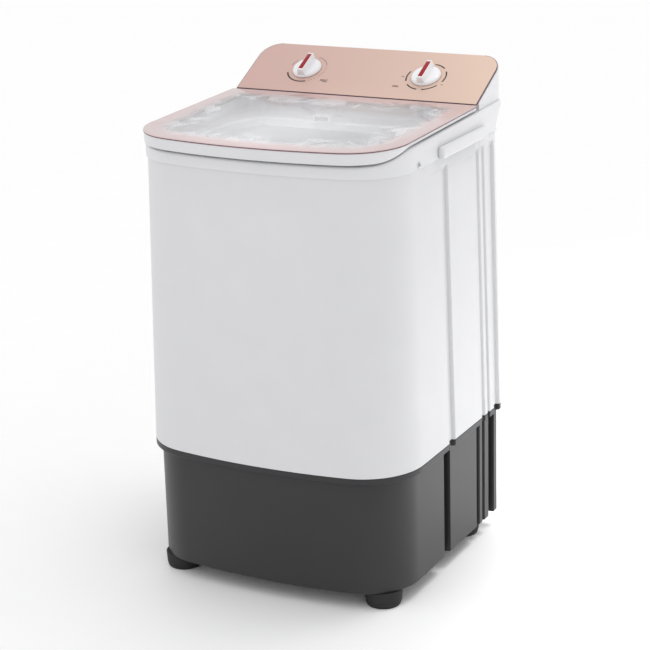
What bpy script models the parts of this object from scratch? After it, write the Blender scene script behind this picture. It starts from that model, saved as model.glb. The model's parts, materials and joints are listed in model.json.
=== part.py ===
"""Single-tub washing machine: moulded cabinet on a dark base, lidded top frame and a sloping console.

Units are metres, +Z is up, -Y is the front and +X is the right-hand side seen from the front.
The cabinet's plan is centred on the "machine" empty, which sits so that the whole object is centred in Y.
"""

from collections import namedtuple
from math import acos, atan2, cos, hypot, pi, radians, sin, sqrt, tan

import bmesh
import bpy
from mathutils import Vector

Plan = namedtuple("Plan", "half front rear corner bow rear_corner")

# Overall sizes
cabinet_width = 0.460
cabinet_depth = 0.430
foot_height = 0.028
base_height = 0.202
cabinet_height = 0.478
cabinet_draft = 0.011
front_corner = 0.092
front_bow = 0.029
rear_corner = 0.012
gap = 0.0003

# Walls
cabinet_wall = 0.003
base_wall = 0.003
frame_wall = 0.0025
console_wall = 0.0025
tub_wall = 0.0025

# Upright channels in the sides: place along Y, width, depth in the cabinet, depth in the base
Channel = namedtuple("Channel", "y width cabinet_depth base_depth")
channels = (
    Channel(0.000, 0.021, 0.006, 0.014),
    Channel(0.130, 0.010, 0.004, 0.007),
    Channel(0.153, 0.007, 0.005, 0.008),
    Channel(0.187, 0.021, 0.006, 0.013),
)
channel_top_drop = 0.014
channel_run_out = 0.007

# Base
base_inset = 0.0105
base_rear_inset = 0.003
base_lip = 0.010
base_lip_bevel = 0.003
base_floor = 0.004
guard_radius = 0.070
guard_centre_y = -0.050
guard_edge = 0.012
guard_thickness = 0.002
foot_radius = 0.031
foot_side_inset = 0.043
foot_end_inset = 0.058
foot_stem_radius = 0.006

# Top frame and lid
frame_overlap = 0.012
lid_front_height = 0.044
lid_slope = 0.026
lid_overhang = 0.013
lid_rear = 0.140
lid_sheet = 0.003
lid_rim = 0.005
lid_rim_width = 0.024
lid_lip = 0.0125
lid_lip_wall = 0.004
lid_seat_gap = 0.0025
lid_side_inset = 0.0015
ledge_width = 0.012
ledge_extra_drop = 0.0015
recess_border = 0.026
recess_depth = 0.018
recess_behind_lid = 0.008
wash_opening_margin = 0.0105
wash_opening_rear_web = 0.038
lip_full_until = -0.190
lip_gone_from = -0.115
hood_length = 0.180
hood_centre = 0.060
hood_height = 0.020
hood_reach = 0.011
hood_wall = 0.0025

# Hinge
hinge_x = 0.150
hinge_set_forward = 0.003
hinge_rise = 0.0015
barrel_radius = 0.0035
barrel_length = 0.020
hinge_pin_radius = 0.0015
post_thickness = 0.005
post_half_depth = 0.0033
hinge_side_play = 0.0008

# Console
console_tilt = radians(27)
console_front_gap = 0.010
fascia_front_gap = 0.004
fascia_thickness = 0.0025
fascia_inset = 0.002
console_corner = 0.036
console_overhang = 0.047
console_inset = 0.004
knob_slope = 0.063
timer_x = -0.115
selector_x = 0.109
knob_radius = 0.0256
knob_skirt = 0.006
knob_grip_width = 0.014
knob_grip_height = 0.016
knob_insert_width = 0.0075
knob_insert_end = 0.0035
knob_shaft_radius = 0.003
switch_radius = 0.019
switch_depth = 0.024
knob_shaft_length = 0.018

# Tub and drive
tub_radius = 0.1905
tub_draft = 0.010
tub_rim = 0.006
tub_floor_above_base = 0.055
tub_hole_radius = 0.014
shaft_radius = 0.006
pulsator_radius = 0.130
bearing_length = 0.080
drive_pulley_radius = 0.080
motor_pulley_radius = 0.022
pulley_height = 0.014
pulley_flange = 0.004
belt_height = 0.008
belt_thickness = 0.004
pulley_drop = 0.100
motor_x = -0.070
motor_y = 0.118
motor_shaft_radius = 0.004
motor_radius = 0.052
motor_height = 0.095
mount_height = 0.016
mount_radius = 0.010
bracket_thickness = 0.003
bracket_half = 0.060

# Drain
drain_x = 0.104
drain_y = 0.190
valve_radius = 0.017
valve_height = 0.062
valve_wall = 0.003
hose_radius = 0.011
valve_above_base = 0.170
pull_rod_radius = 0.0025
spring_wire = 0.0009
spring_radius = 0.008

# Inlet, service opening and screws
inlet_x = -0.045
inlet_reach = 0.018
screw_radius = 0.0018
screw_head_radius = 0.0045
side_screw_y = -0.100
side_screw_above_seam = 0.0065
rear_hole_half = 0.120
rear_hole_above_base = 0.060
rear_hole_height = 0.260
rear_cover_thickness = 0.002
rear_cover_lap = 0.015

# Lint filter
filter_below_rim = 0.055
filter_height = 0.120
filter_stand_off = 0.014
filter_middle = radians(131)
filter_half_turn = radians(34)
filter_thickness = 0.003

# Derived heights
base_bottom = foot_height
base_top = base_bottom + base_height
seam = base_top + cabinet_height
half_width = cabinet_width / 2
half_depth = cabinet_depth / 2
lid_front_z = seam + lid_front_height
recess_z = lid_front_z - lid_sheet - lid_rim - lid_seat_gap - recess_depth
tub_top = recess_z - frame_wall - gap
tub_floor = base_top + tub_floor_above_base
wash_opening_radius = tub_radius - wash_opening_margin
tub_bottom = tub_floor - tub_wall
pulley_z = tub_bottom - pulley_drop
hinge_y = lid_rear - hinge_set_forward
post_offset = barrel_length / 2 + hinge_side_play + post_thickness / 2
console_rear = half_depth + console_overhang
rear_hole_low = base_top + rear_hole_above_base
rear_hole_high = rear_hole_low + rear_hole_height
valve_z = base_bottom + valve_above_base
filter_top = tub_top - filter_below_rim
filter_low = filter_top - filter_height

cabinet_plan = Plan(half_width, half_depth, half_depth, front_corner, front_bow, rear_corner)
lid_plan = Plan(
    half_width - lid_side_inset,
    half_depth + lid_overhang,
    lid_rear,
    front_corner,
    front_bow,
    0.005,
)

front_steps = 9
corner_steps = 6
rear_steps = 3
side_steps = 7


# --- plan shapes -----------------------------------------------------------------------------------------


def arc(centre_x, centre_y, radius, start, end, steps):
    """Points of an arc, both ends included."""
    angles = [start + (end - start) * i / steps for i in range(steps + 1)]
    return [(centre_x + radius * cos(a), centre_y + radius * sin(a)) for a in angles]


def channel_points(half, cuts, grow):
    """The right side's points, front to rear, stepping in at each (y, width, depth)."""
    lean = 0.0015
    points = []
    for y, width, depth in cuts:
        reach = width / 2 + grow
        points += [(half, y - reach - lean), (half - depth, y - reach)]
        points += [(half - depth, y + reach), (half, y + reach + lean)]
    return points


def outline(plan, inset=0.0, cuts=(), grow=0.0):
    """Closed plan outline, mirrored about X = 0: bowed front, round corners, straight sides and rear."""
    front_radius = (plan.half**2 + plan.bow**2) / (2 * plan.bow)
    centre_y = front_radius - plan.front
    front_radius -= inset
    half = plan.half - inset
    rear = plan.rear - inset
    corner = plan.corner - inset
    small = max(plan.rear_corner - inset, 0.001)
    knee_y = centre_y - sqrt((front_radius - corner) ** 2 - (half - corner) ** 2)
    tangent = atan2(knee_y - centre_y, half - corner)
    right = arc(0, centre_y, front_radius, -pi / 2, tangent, front_steps)
    right += arc(half - corner, knee_y, corner, tangent, 0, corner_steps)[1:]
    if cuts:
        right += channel_points(half, cuts, grow)
    else:
        right += [(half, knee_y + (rear - small - knee_y) * i / side_steps) for i in range(1, side_steps)]
    right += arc(half - small, rear - small, small, 0, pi / 2, rear_steps)
    return right + [(-x, y) for x, y in reversed(right[1:])]


def clipped_circle(guide, centre_y, radius, rear_y):
    """One point of a circle in the direction of each guide point, cut off straight at rear_y."""
    points = []
    for x, y in guide:
        angle = atan2(y - centre_y, x)
        reach = radius
        if sin(angle) * radius > rear_y - centre_y:
            reach = (rear_y - centre_y) / sin(angle)
        points.append((reach * cos(angle), centre_y + reach * sin(angle)))
    return points


def ring(points, height):
    """Plan points lifted to a height, which is a number or a function of (x, y)."""
    if callable(height):
        return [(x, y, height(x, y)) for x, y in points]
    return [(x, y, height) for x, y in points]


def lid_plane(offset):
    """Height function of the lid's top plane, moved up by offset."""
    return lambda x, y: lid_front_z + lid_slope * (y + half_depth) + offset


def smooth(low, high, value):
    share = min(max((value - low) / (high - low), 0.0), 1.0)
    return share * share * (3 - 2 * share)


def lip_share(y):
    """1 along the front, where the lid's finger lip hangs, falling to 0 round the corners."""
    return 1 - smooth(lip_full_until, lip_gone_from, y)


def panel_height(offset=0.0):
    """Height function of the console's sloping top, moved off it by offset."""
    front_y = lid_rear + fascia_front_gap
    low = lid_plane(0.0)(0, front_y) + offset / cos(console_tilt) - fascia_thickness
    return lambda x, y: low + tan(console_tilt) * (y - front_y)


# --- objects ---------------------------------------------------------------------------------------------


def clear_scene():
    for old in list(bpy.data.objects):
        bpy.data.objects.remove(old, do_unlink=True)


def new_collection(name):
    made = bpy.data.collections.new(name)
    bpy.context.scene.collection.children.link(made)
    return made


def new_material(name, colour, roughness, metallic=0.0, alpha=1.0):
    made = bpy.data.materials.new(name)
    made.use_nodes = True
    shader = made.node_tree.nodes["Principled BSDF"]
    shader.inputs["Base Color"].default_value = (*colour, 1.0)
    shader.inputs["Roughness"].default_value = roughness
    shader.inputs["Metallic"].default_value = metallic
    shader.inputs["Alpha"].default_value = alpha
    return made


def place(name, mesh, material=None, location=(0, 0, 0), turn=(0, 0, 0)):
    """An object under the machine empty. Without a material it is a cutter, or a shape that is joined on."""
    made = bpy.data.objects.new(name, mesh)
    made.parent = machine
    made.location = location
    made.rotation_euler = turn
    if material is None:
        cutters.objects.link(made)
        made.hide_render = True
        made.display_type = "WIRE"
    else:
        parts.objects.link(made)
        mesh.materials.append(material)
    return made


def finish_mesh(name, bm):
    bmesh.ops.recalc_face_normals(bm, faces=bm.faces)
    mesh = bpy.data.meshes.new(name)
    bm.to_mesh(mesh)
    bm.free()
    mesh.shade_smooth()
    mesh.set_sharp_from_angle(angle=radians(32))
    return mesh


def loft(name, rings, material=None, closed=False, **placing):
    """A skin through rings of equal length: capped at both ends or, when closed, joined last to first."""
    bm = bmesh.new()
    rows = [[bm.verts.new(point) for point in row] for row in rings]
    count = len(rows[0])
    pairs = list(zip(rows, rows[1:]))
    if closed:
        pairs.append((rows[-1], rows[0]))
    for low, high in pairs:
        for i in range(count):
            j = (i + 1) % count
            bm.faces.new((low[i], low[j], high[j], high[i]))
    if not closed:
        bm.faces.new(rows[0])
        bm.faces.new(rows[-1])
    return place(name, finish_mesh(name, bm), material, **placing)


def box(name, low, high, material=None, bevel=0.0):
    """A box between two corners, with its upright and level edges rounded by bevel."""
    bm = bmesh.new()
    bmesh.ops.create_cube(bm, size=1.0)
    size = Vector(high) - Vector(low)
    centre = (Vector(high) + Vector(low)) / 2
    bmesh.ops.scale(bm, vec=size, verts=bm.verts)
    made = place(name, finish_mesh(name, bm), material, location=centre)
    if bevel:
        rounding = made.modifiers.new("rounded edges", "BEVEL")
        rounding.width = bevel
        rounding.segments = 2
    return made


def rod(name, radius, length, material=None, steps=16, **placing):
    """A cylinder centred on its location, along its own Z."""
    bm = bmesh.new()
    bmesh.ops.create_cone(bm, cap_ends=True, segments=steps, radius1=radius, radius2=radius, depth=length)
    return place(name, finish_mesh(name, bm), material, **placing)


def turned(name, profile, material=None, steps=24, ring_shaped=False, **placing):
    """A profile of (radius, z), top to bottom, turned about Z. A ring's profile closes on itself."""
    mesh = bpy.data.meshes.new(name)
    edges = [(i, i + 1) for i in range(len(profile) - 1)]
    if ring_shaped:
        edges.append((len(profile) - 1, 0))
    mesh.from_pydata([(r, 0, z) for r, z in profile], edges, [])
    made = place(name, mesh, material, **placing)
    screw = made.modifiers.new("turned", "SCREW")
    screw.steps = steps
    screw.render_steps = steps
    screw.use_merge_vertices = True
    screw.merge_threshold = 0.0001
    return made


def combine(target, other, operation):
    """Cuts, joins or intersects target with another object, which then only serves as the tool."""
    if other.name not in cutters.objects:
        parts.objects.unlink(other)
        cutters.objects.link(other)
        other.hide_render = True
        other.display_type = "WIRE"
    step = target.modifiers.new(other.name, "BOOLEAN")
    step.operation = operation
    step.object = other
    return target


def cut(target, *others):
    for other in others:
        combine(target, other, "DIFFERENCE")


def join(target, *others):
    for other in others:
        combine(target, other, "UNION")


def tube(name, points, radius, material, sides=2):
    """A round tube along points read from a smooth curve."""
    curve = bpy.data.curves.new(name, "CURVE")
    curve.dimensions = "3D"
    curve.bevel_depth = radius
    curve.bevel_resolution = sides
    curve.use_fill_caps = True
    spline = curve.splines.new("POLY")
    spline.points.add(len(points) - 1)
    for knot, point in zip(spline.points, points):
        knot.co = (*point, 1)
    curve.materials.append(material)
    made = bpy.data.objects.new(name, curve)
    made.parent = machine
    parts.objects.link(made)
    return made


def smooth_path(knots, per_span):
    """Catmull-Rom points through the knots."""
    padded = [knots[0]] + list(knots) + [knots[-1]]
    points = []
    for i in range(1, len(padded) - 2):
        a, b, c, d = (Vector(padded[i + k]) for k in (-1, 0, 1, 2))
        for step in range(per_span):
            t = step / per_span
            bend = (2 * a - 5 * b + 4 * c - d) * t**2 + (3 * b - a - 3 * c + d) * t**3
            points.append(0.5 * (2 * b + (c - a) * t + bend))
    return points + [Vector(knots[-1])]


# --- casing ----------------------------------------------------------------------------------------------


def spread_plan(spread):
    """The cabinet's plan grown at the front and sides by the draft, its rear staying flat."""
    return cabinet_plan._replace(
        half=half_width + spread,
        front=half_depth + spread,
        corner=front_corner + spread,
    )


def cabinet_cuts(share):
    return [(c.y, c.width, c.cabinet_depth * share) for c in channels]


def base_cuts(share):
    return [(c.y, c.width, c.cabinet_depth + (c.base_depth - c.cabinet_depth) * share) for c in channels]


def cabinet_shell():
    """One wall all round, wider at the bottom by the draft, with channels ending below the top frame."""
    low = base_top + gap
    channel_end = seam - channel_top_drop
    levels = [
        (low, 1.0),
        (channel_end - channel_run_out, 1.0),
        (channel_end, 0.0),
        (seam + frame_overlap, 0.0),
    ]
    outer = []
    inner = []
    for z, share in levels:
        plan = spread_plan(cabinet_draft * max(0.0, (seam - z) / (seam - low)))
        outer.append(ring(outline(plan, 0.0, cabinet_cuts(share)), z))
        inner.append(ring(outline(plan, cabinet_wall, cabinet_cuts(share), cabinet_wall), z))
    shell = loft("cabinet", outer + inner[::-1], white_plastic, closed=True)
    low = (-rear_hole_half, half_depth - 0.02, rear_hole_low)
    high = (rear_hole_half, half_depth + 0.02, rear_hole_high)
    cut(shell, box("cabinet rear opening", low, high))
    return shell


def base_tray():
    """A tray with a floor, deep side channels and a lip at the cabinet's outline."""
    plan = spread_plan(cabinet_draft)
    lip_low = base_top - base_lip
    inner = base_inset + base_wall
    low_plan = plan._replace(rear=plan.rear + base_inset - base_rear_inset)
    rings = [
        ring(outline(low_plan, base_inset, base_cuts(1.0)), base_bottom),
        ring(outline(low_plan, base_inset, base_cuts(1.0)), lip_low - base_lip_bevel),
        ring(outline(plan, 0.0, base_cuts(0.0)), lip_low),
        ring(outline(plan, 0.0, base_cuts(0.0)), base_top),
        ring(outline(plan, base_wall, base_cuts(0.0), base_wall), base_top),
        ring(outline(plan, base_wall, base_cuts(0.0), base_wall), lip_low + 0.001),
        ring(outline(low_plan, inner, base_cuts(1.0), base_wall), lip_low - base_lip_bevel),
        ring(outline(low_plan, inner, base_cuts(1.0), base_wall), base_bottom + base_floor),
    ]
    tray = loft("base", rings, charcoal_plastic)
    spot = (0, guard_centre_y, base_bottom)
    cut(tray, rod("base opening", guard_radius - guard_edge, 0.03, steps=32, location=spot))
    return tray


def guard():
    """Slotted plate that closes the opening in the base floor."""
    z = base_bottom - gap - guard_thickness / 2
    spot = (0, guard_centre_y, z)
    plate = rod("bottom_guard", guard_radius, guard_thickness, charcoal_plastic, steps=32, location=spot)
    for i in range(-2, 3):
        x = i * 0.020
        low = (x - 0.004, guard_centre_y - 0.038, z - 0.01)
        high = (x + 0.004, guard_centre_y + 0.038, z + 0.01)
        cut(plate, box(f"guard slot {i}", low, high))


def feet(base):
    """Four round feet whose stems pass up through the base floor."""
    across = half_width - foot_side_inset
    along = half_depth - foot_end_inset
    spots = {
        "foot_front_left": (-across, -along),
        "foot_front_right": (across, -along),
        "foot_rear_left": (-across, along),
        "foot_rear_right": (across, along),
    }
    stem_top = base_bottom + base_floor + 0.006
    profile = [
        (0, stem_top),
        (foot_stem_radius, stem_top),
        (foot_stem_radius, base_bottom - gap),
        (foot_radius, base_bottom - gap),
        (foot_radius * 0.93, 0.003),
        (foot_radius * 0.86, 0),
        (0, 0),
    ]
    for name, (x, y) in spots.items():
        turned(name, profile, rubber, steps=20, location=(x, y, 0))
        spot = (x, y, base_bottom)
        cut(base, rod(f"{name} hole", foot_stem_radius + gap, 0.03, steps=20, location=spot))


def small_screw(name, **placing):
    """A pan-head screw along its own Z, its head's underside at z = 0."""
    profile = [
        (0, 0.0018),
        (0.003, 0.0016),
        (screw_head_radius, 0),
        (screw_radius, 0),
        (screw_radius, -0.008),
        (0, -0.010),
    ]
    turned(name, profile, steel, steps=12, **placing)


def rear_cover(cabinet):
    """Flat service cover over the cabinet's rear opening, held by four screws."""
    near = half_depth + gap
    far = near + rear_cover_thickness
    low = (-rear_hole_half - rear_cover_lap, near, rear_hole_low - rear_cover_lap)
    high = (rear_hole_half + rear_cover_lap, far, rear_hole_high + rear_cover_lap)
    cover = box("rear_cover", low, high, white_plastic)
    for row in range(5):
        z = rear_hole_low + 0.06 + 0.018 * row
        vent = box(f"vent {row}", (-0.06, near - 0.01, z - 0.003), (0.06, far + 0.01, z + 0.003))
        cut(cover, vent)
    edge = rear_cover_lap / 2
    for side, x in (("left", -rear_hole_half - edge), ("right", rear_hole_half + edge)):
        for level, z in (("low", rear_hole_low - edge), ("high", rear_hole_high + edge)):
            spot = (x, far + gap, z)
            name = f"rear_cover_screw_{side}_{level}"
            small_screw(name, location=spot, turn=(-pi / 2, 0, 0))
            hole = rod(f"{name} hole", screw_radius + gap, 0.04, location=spot, turn=(pi / 2, 0, 0), steps=12)
            cut(cover, hole)
            cut(cabinet, hole)


# --- top frame and lid -----------------------------------------------------------------------------------


def deck_plane(offset=0.0):
    return lid_plane(offset - lid_sheet - lid_rim - lid_seat_gap)


def ledge_share(y):
    """1 wherever the ledge keeps its width, which is a little past the place where its drop has run out."""
    return 1 - smooth(lip_gone_from + 0.02, lip_gone_from + 0.07, y)


def ledge_line(outer, skirt):
    """The foot of the step between ledge and deck: wide along the front, narrow along the sides."""
    narrow = outline(outer, skirt + 0.003)
    wide = outline(outer, skirt + 0.003 + ledge_width)
    line = []
    for near, far in zip(narrow, wide):
        share = ledge_share(near[1])
        line.append((near[0] + (far[0] - near[0]) * share, near[1] + (far[1] - near[1]) * share))
    return line


def frame_moulding():
    """Skirt over the cabinet's edge, ledge under the lid's lip, deck, recess and wash opening collar."""
    skirt = -(gap + frame_wall)
    drop = lid_lip + ledge_extra_drop
    outer = cabinet_plan
    flared = cabinet_plan._replace(rear=console_rear, rear_corner=console_corner + 0.008)

    def ledge(offset):
        return lambda x, y: deck_plane(offset)(x, y) - drop * lip_share(y)

    recess_plan = Plan(
        half_width - recess_border,
        half_depth - recess_border,
        lid_rear + recess_behind_lid,
        front_corner - 0.01,
        front_bow,
        0.012,
    )
    recess_edge = outline(recess_plan)
    recess_out = outline(recess_plan, -frame_wall)
    rear_web = lid_rear - wash_opening_rear_web
    opening = clipped_circle(recess_edge, 0.0, wash_opening_radius, rear_web)
    collar = clipped_circle(recess_edge, 0.0, wash_opening_radius + frame_wall, rear_web + frame_wall)
    collar_low = recess_z - 0.014
    above_cabinet = seam + frame_overlap + 0.002
    rings = [
        ring(outline(outer, skirt), seam),
        ring(outline(outer, skirt), above_cabinet),
        ring(outline(flared, skirt), ledge(-0.003)),
        ring(outline(flared, skirt + 0.002), ledge(-0.0005)),
        ring(ledge_line(flared, skirt), ledge(0.0)),
        ring(ledge_line(flared, skirt + 0.0008), deck_plane()),
        ring(recess_edge, deck_plane()),
        ring(recess_edge, recess_z),
        ring(opening, recess_z),
        ring(opening, collar_low),
        ring(collar, collar_low),
        ring(collar, recess_z - frame_wall),
        ring(recess_out, recess_z - frame_wall),
        ring(recess_out, deck_plane(-frame_wall)),
        ring(ledge_line(flared, skirt + frame_wall + 0.0008), deck_plane(-frame_wall)),
        ring(ledge_line(flared, skirt + frame_wall), ledge(-frame_wall)),
        ring(outline(flared, skirt + frame_wall), ledge(-frame_wall - 0.0005)),
        ring(outline(outer, -gap), above_cabinet),
        ring(outline(outer, -gap), seam),
    ]
    return loft("top_frame", rings, white_plastic, closed=True)


def side_hood(frame, side, sign):
    """A rounded hood on the frame's side, hollow from below, that the fingers lift by."""
    face = half_width + gap + frame_wall
    front = hood_centre - hood_length / 2
    rear = hood_centre + hood_length / 2
    near, far = sorted((sign * (face - 0.0012), sign * (face + hood_reach)))
    top = seam + hood_height
    join(frame, box(f"hood {side}", (near, front, seam + 0.001), (far, rear, top), bevel=0.004))
    near, far = sorted((sign * (face + gap), sign * (face + hood_reach - hood_wall)))
    low = (near, front + hood_wall, seam - 0.01)
    high = (far, rear - hood_wall, top - hood_wall)
    cut(frame, box(f"hood hollow {side}", low, high))


def hinge_z():
    """Height of the lid's hinge axis, inside its rim."""
    return lid_plane(hinge_rise - lid_sheet - lid_rim)(0, hinge_y)


def hinge_bore(name, sign):
    spot = (sign * hinge_x, hinge_y, hinge_z())
    return rod(name, hinge_pin_radius + gap, 0.06, location=spot, turn=(0, pi / 2, 0), steps=12)


def top_frame(cabinet):
    """The moulding with its hoods, hinge posts, service hole, side screws and lid pads."""
    frame = frame_moulding()
    for side, sign in (("left", -1), ("right", 1)):
        side_hood(frame, side, sign)
        for post in (-1, 1):
            x = sign * hinge_x + post * post_offset
            low = (x - post_thickness / 2, hinge_y - post_half_depth, recess_z - 0.001)
            high = (x + post_thickness / 2, hinge_y + post_half_depth, hinge_z())
            join(frame, box(f"post {side} {post}", low, high))
            spot = (x, hinge_y, hinge_z())
            head = f"post head {side} {post}"
            join(frame, rod(head, post_half_depth, post_thickness, location=spot, turn=(0, pi / 2, 0)))
        cut(frame, hinge_bore(f"post bore {side}", sign))
        x = sign * (half_width - 0.012)
        pad_thickness = lid_seat_gap - 2 * gap
        z = deck_plane(gap + pad_thickness / 2)(0, -0.03)
        rod(f"lid_pad_{side}", 0.004, pad_thickness * 0.9, rubber, steps=16, location=(x, -0.03, z))
        spot = (sign * (half_width + 2 * gap + frame_wall), side_screw_y, seam + side_screw_above_seam)
        small_screw(f"side_screw_{side}", location=spot, turn=(0, sign * pi / 2, 0))
    service = box("service hole", (-0.075, 0.170, recess_z + 0.010), (0.030, 0.215, seam + 0.09))
    cut(frame, service)
    spot = (0, side_screw_y, seam + side_screw_above_seam)
    passage = rod("side screw passage", screw_radius + gap, 0.7, location=spot, turn=(0, pi / 2, 0), steps=12)
    cut(frame, passage)
    cut(cabinet, passage)
    return frame


def lid():
    """Clear sheet over a white rim, with the finger lip along the front and the hinge barrels at the rear."""
    sheet = [
        ring(outline(lid_plan), lid_plane(-lid_sheet + gap)),
        ring(outline(lid_plan), lid_plane(0.0)),
    ]
    loft("lid_window", sheet, clear_sheet)
    rim_low = -lid_sheet - lid_rim
    edge = 0.0012

    def lip(x, y):
        return lid_plane(rim_low)(x, y) - lid_lip * lip_share(y)

    rings = [
        ring(outline(lid_plan, edge), lid_plane(-lid_sheet)),
        ring(outline(lid_plan, edge + 0.0004), lip),
        ring(outline(lid_plan, edge + lid_lip_wall), lip),
        ring(outline(lid_plan, edge + lid_lip_wall + 0.0008), lid_plane(rim_low)),
        ring(outline(lid_plan, lid_rim_width), lid_plane(rim_low)),
        ring(outline(lid_plan, lid_rim_width), lid_plane(-lid_sheet)),
    ]
    frame = loft("lid_frame", rings, white_plastic, closed=True)
    for side, sign in (("left", -1), ("right", 1)):
        spot = (sign * hinge_x, hinge_y, hinge_z())
        turn = (0, pi / 2, 0)
        join(frame, rod(f"barrel {side}", barrel_radius, barrel_length, location=spot, turn=turn))
        for post in (-1, 1):
            x = sign * hinge_x + post * post_offset
            reach = post_thickness / 2 + hinge_side_play
            low = (x - reach, hinge_y - 0.005, spot[2] - 0.02)
            high = (x + reach, lid_rear + 0.01, spot[2] + 0.02)
            cut(frame, box(f"post notch {side} {post}", low, high))
        cut(frame, hinge_bore(f"barrel bore {side}", sign))
        length = barrel_length + 2 * hinge_side_play + 2 * post_thickness + 0.002
        rod(f"hinge_pin_{side}", hinge_pin_radius, length, steel, steps=12, location=spot, turn=turn)


# --- console ---------------------------------------------------------------------------------------------


def switch_y():
    """Where the knobs stand: part of the way up the slope."""
    return lid_rear + fascia_front_gap + knob_slope * cos(console_tilt)


def on_panel(x, lift):
    """A point above the fascia's face at the knobs' height on the slope."""
    y = switch_y()
    z = panel_height(fascia_thickness)(x, y)
    return (x, y - lift * sin(console_tilt), z + lift * cos(console_tilt))


def console_outline(inset, front):
    """Plan of the console: square at the front, rounded at the rear."""
    small = console_corner - inset
    half = half_width - console_inset - inset
    rear = console_rear - inset
    right = [(half, front)] + arc(half - small, rear - small, small, 0, pi / 2, 6)
    return right + [(-x, y) for x, y in reversed(right)]


def console():
    """Sloping housing, open underneath, and the fascia that covers its slope."""
    front = lid_rear + console_front_gap
    foot = deck_plane(gap)
    inner = console_outline(console_wall, front + console_wall)
    rings = [
        ring(inner, panel_height(-console_wall - gap)),
        ring(inner, foot),
        ring(console_outline(0.0, front), foot),
        ring(console_outline(0.0, front), panel_height(-gap)),
    ]
    housing = loft("console_housing", rings, white_plastic)
    plan = console_outline(fascia_inset, lid_rear + fascia_front_gap)
    plate = [ring(plan, panel_height()), ring(plan, panel_height(fascia_thickness))]
    fascia = loft("console_fascia", plate, rose_fascia)
    for x in (timer_x, selector_x):
        spot = on_panel(x, -0.004)
        turn = (console_tilt, 0, 0)
        hole = rod(f"shaft hole {x}", knob_shaft_radius + gap, 0.03, location=spot, turn=turn, steps=12)
        cut(housing, hole)
        cut(fascia, hole)
    return housing


def knob(name, x):
    """A skirted dial with a bar grip and a red insert, on a shaft into its switch body."""
    turn = (console_tilt, 0, 0)
    bore = knob_shaft_radius + gap
    profile = [
        (0, knob_skirt),
        (knob_radius * 0.88, knob_skirt),
        (knob_radius, 0.0015),
        (knob_radius, 0),
        (bore, 0),
        (bore, 0.004),
        (0, 0.004),
    ]
    dial = turned(f"{name}_knob", profile, white_plastic, steps=32, location=on_panel(x, 0.0008), turn=turn)
    long = knob_radius * 0.93
    half = knob_grip_width / 2
    low = (-half, -long, knob_skirt - 0.0015)
    grip = box(f"{name} grip", low, (half, long, knob_grip_height), bevel=0.0025)
    half = knob_insert_width / 2
    reach = long - knob_insert_end
    seat = knob_grip_height - 0.0015
    slot = box(
        f"{name} insert slot",
        (-half - gap, -reach - gap, seat - gap),
        (half + gap, reach + gap, knob_grip_height + 0.01),
    )
    insert = box(
        f"{name}_knob_insert",
        (-half, -reach, seat),
        (half, reach, knob_grip_height + 0.0004),
        red_plastic,
    )
    for piece in (grip, slot, insert):
        piece.parent = dial
    join(dial, grip)
    cut(dial, slot)
    spot = on_panel(x, 0.0044 - knob_shaft_length / 2)
    rod(f"{name}_shaft", knob_shaft_radius, knob_shaft_length, steel, steps=12, location=spot, turn=turn)
    top = -fascia_thickness - console_wall - 3 * gap
    spot = on_panel(x, top - switch_depth / 2)
    body = rod(f"{name}_body", switch_radius, switch_depth, grey_plastic, steps=20, location=spot, turn=turn)
    cut(body, rod(f"{name} body bore", bore, 0.02, location=on_panel(x, top), turn=turn, steps=12))


# --- tub and drive ---------------------------------------------------------------------------------------


def tub_inner_radius(z):
    share = (tub_top - z) / (tub_top - tub_floor)
    return tub_radius - tub_wall - tub_draft * share


def wash_tub():
    low_radius = tub_radius - tub_draft
    profile = [
        (tub_radius + tub_rim, tub_top),
        (tub_radius + tub_rim, tub_top - tub_wall),
        (tub_radius, tub_top - tub_wall - 0.002),
        (low_radius, tub_bottom + 0.016),
        (low_radius - 0.016, tub_bottom),
        (tub_hole_radius, tub_bottom),
        (tub_hole_radius, tub_floor),
        (low_radius - 0.016 - tub_wall / 2, tub_floor),
        (low_radius - tub_wall, tub_floor + 0.015),
        (tub_radius - tub_wall, tub_top - 0.003),
        (tub_radius - tub_wall + 0.001, tub_top),
    ]
    turned("wash_tub", profile, tub_plastic, steps=40, ring_shaped=True)


def lint_filter():
    """A curved slotted cover on the tub's rear-left wall, standing off it on two side ribs."""
    stations = 14
    wall = tub_inner_radius(filter_low) - 0.0012
    face = wall - filter_stand_off
    rings = []
    for i in range(stations + 1):
        share = 2 * i / stations - 1
        angle = filter_middle + filter_half_turn * share
        top = filter_top - 0.022 * share * share
        back = wall if abs(share) > 0.9 else face + filter_thickness
        corners = ((face, filter_low), (back, filter_low), (back, top), (face, top))
        rings.append([(r * cos(angle), r * sin(angle), z) for r, z in corners])
    cover = loft("lint_filter", rings, grey_plastic)
    slots = 13
    for i in range(slots):
        share = 2 * (i + 0.5) / slots - 1
        if i == slots // 2:
            continue
        angle = filter_middle + filter_half_turn * 0.82 * share
        slot = box(f"filter slot {i}", (-0.02, -0.003, -0.045), (0.02, 0.003, 0.045))
        slot.location = (face * cos(angle), face * sin(angle), (filter_low + filter_top) / 2 - 0.008)
        slot.rotation_euler = (0, 0, angle)
        cut(cover, slot)


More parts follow.
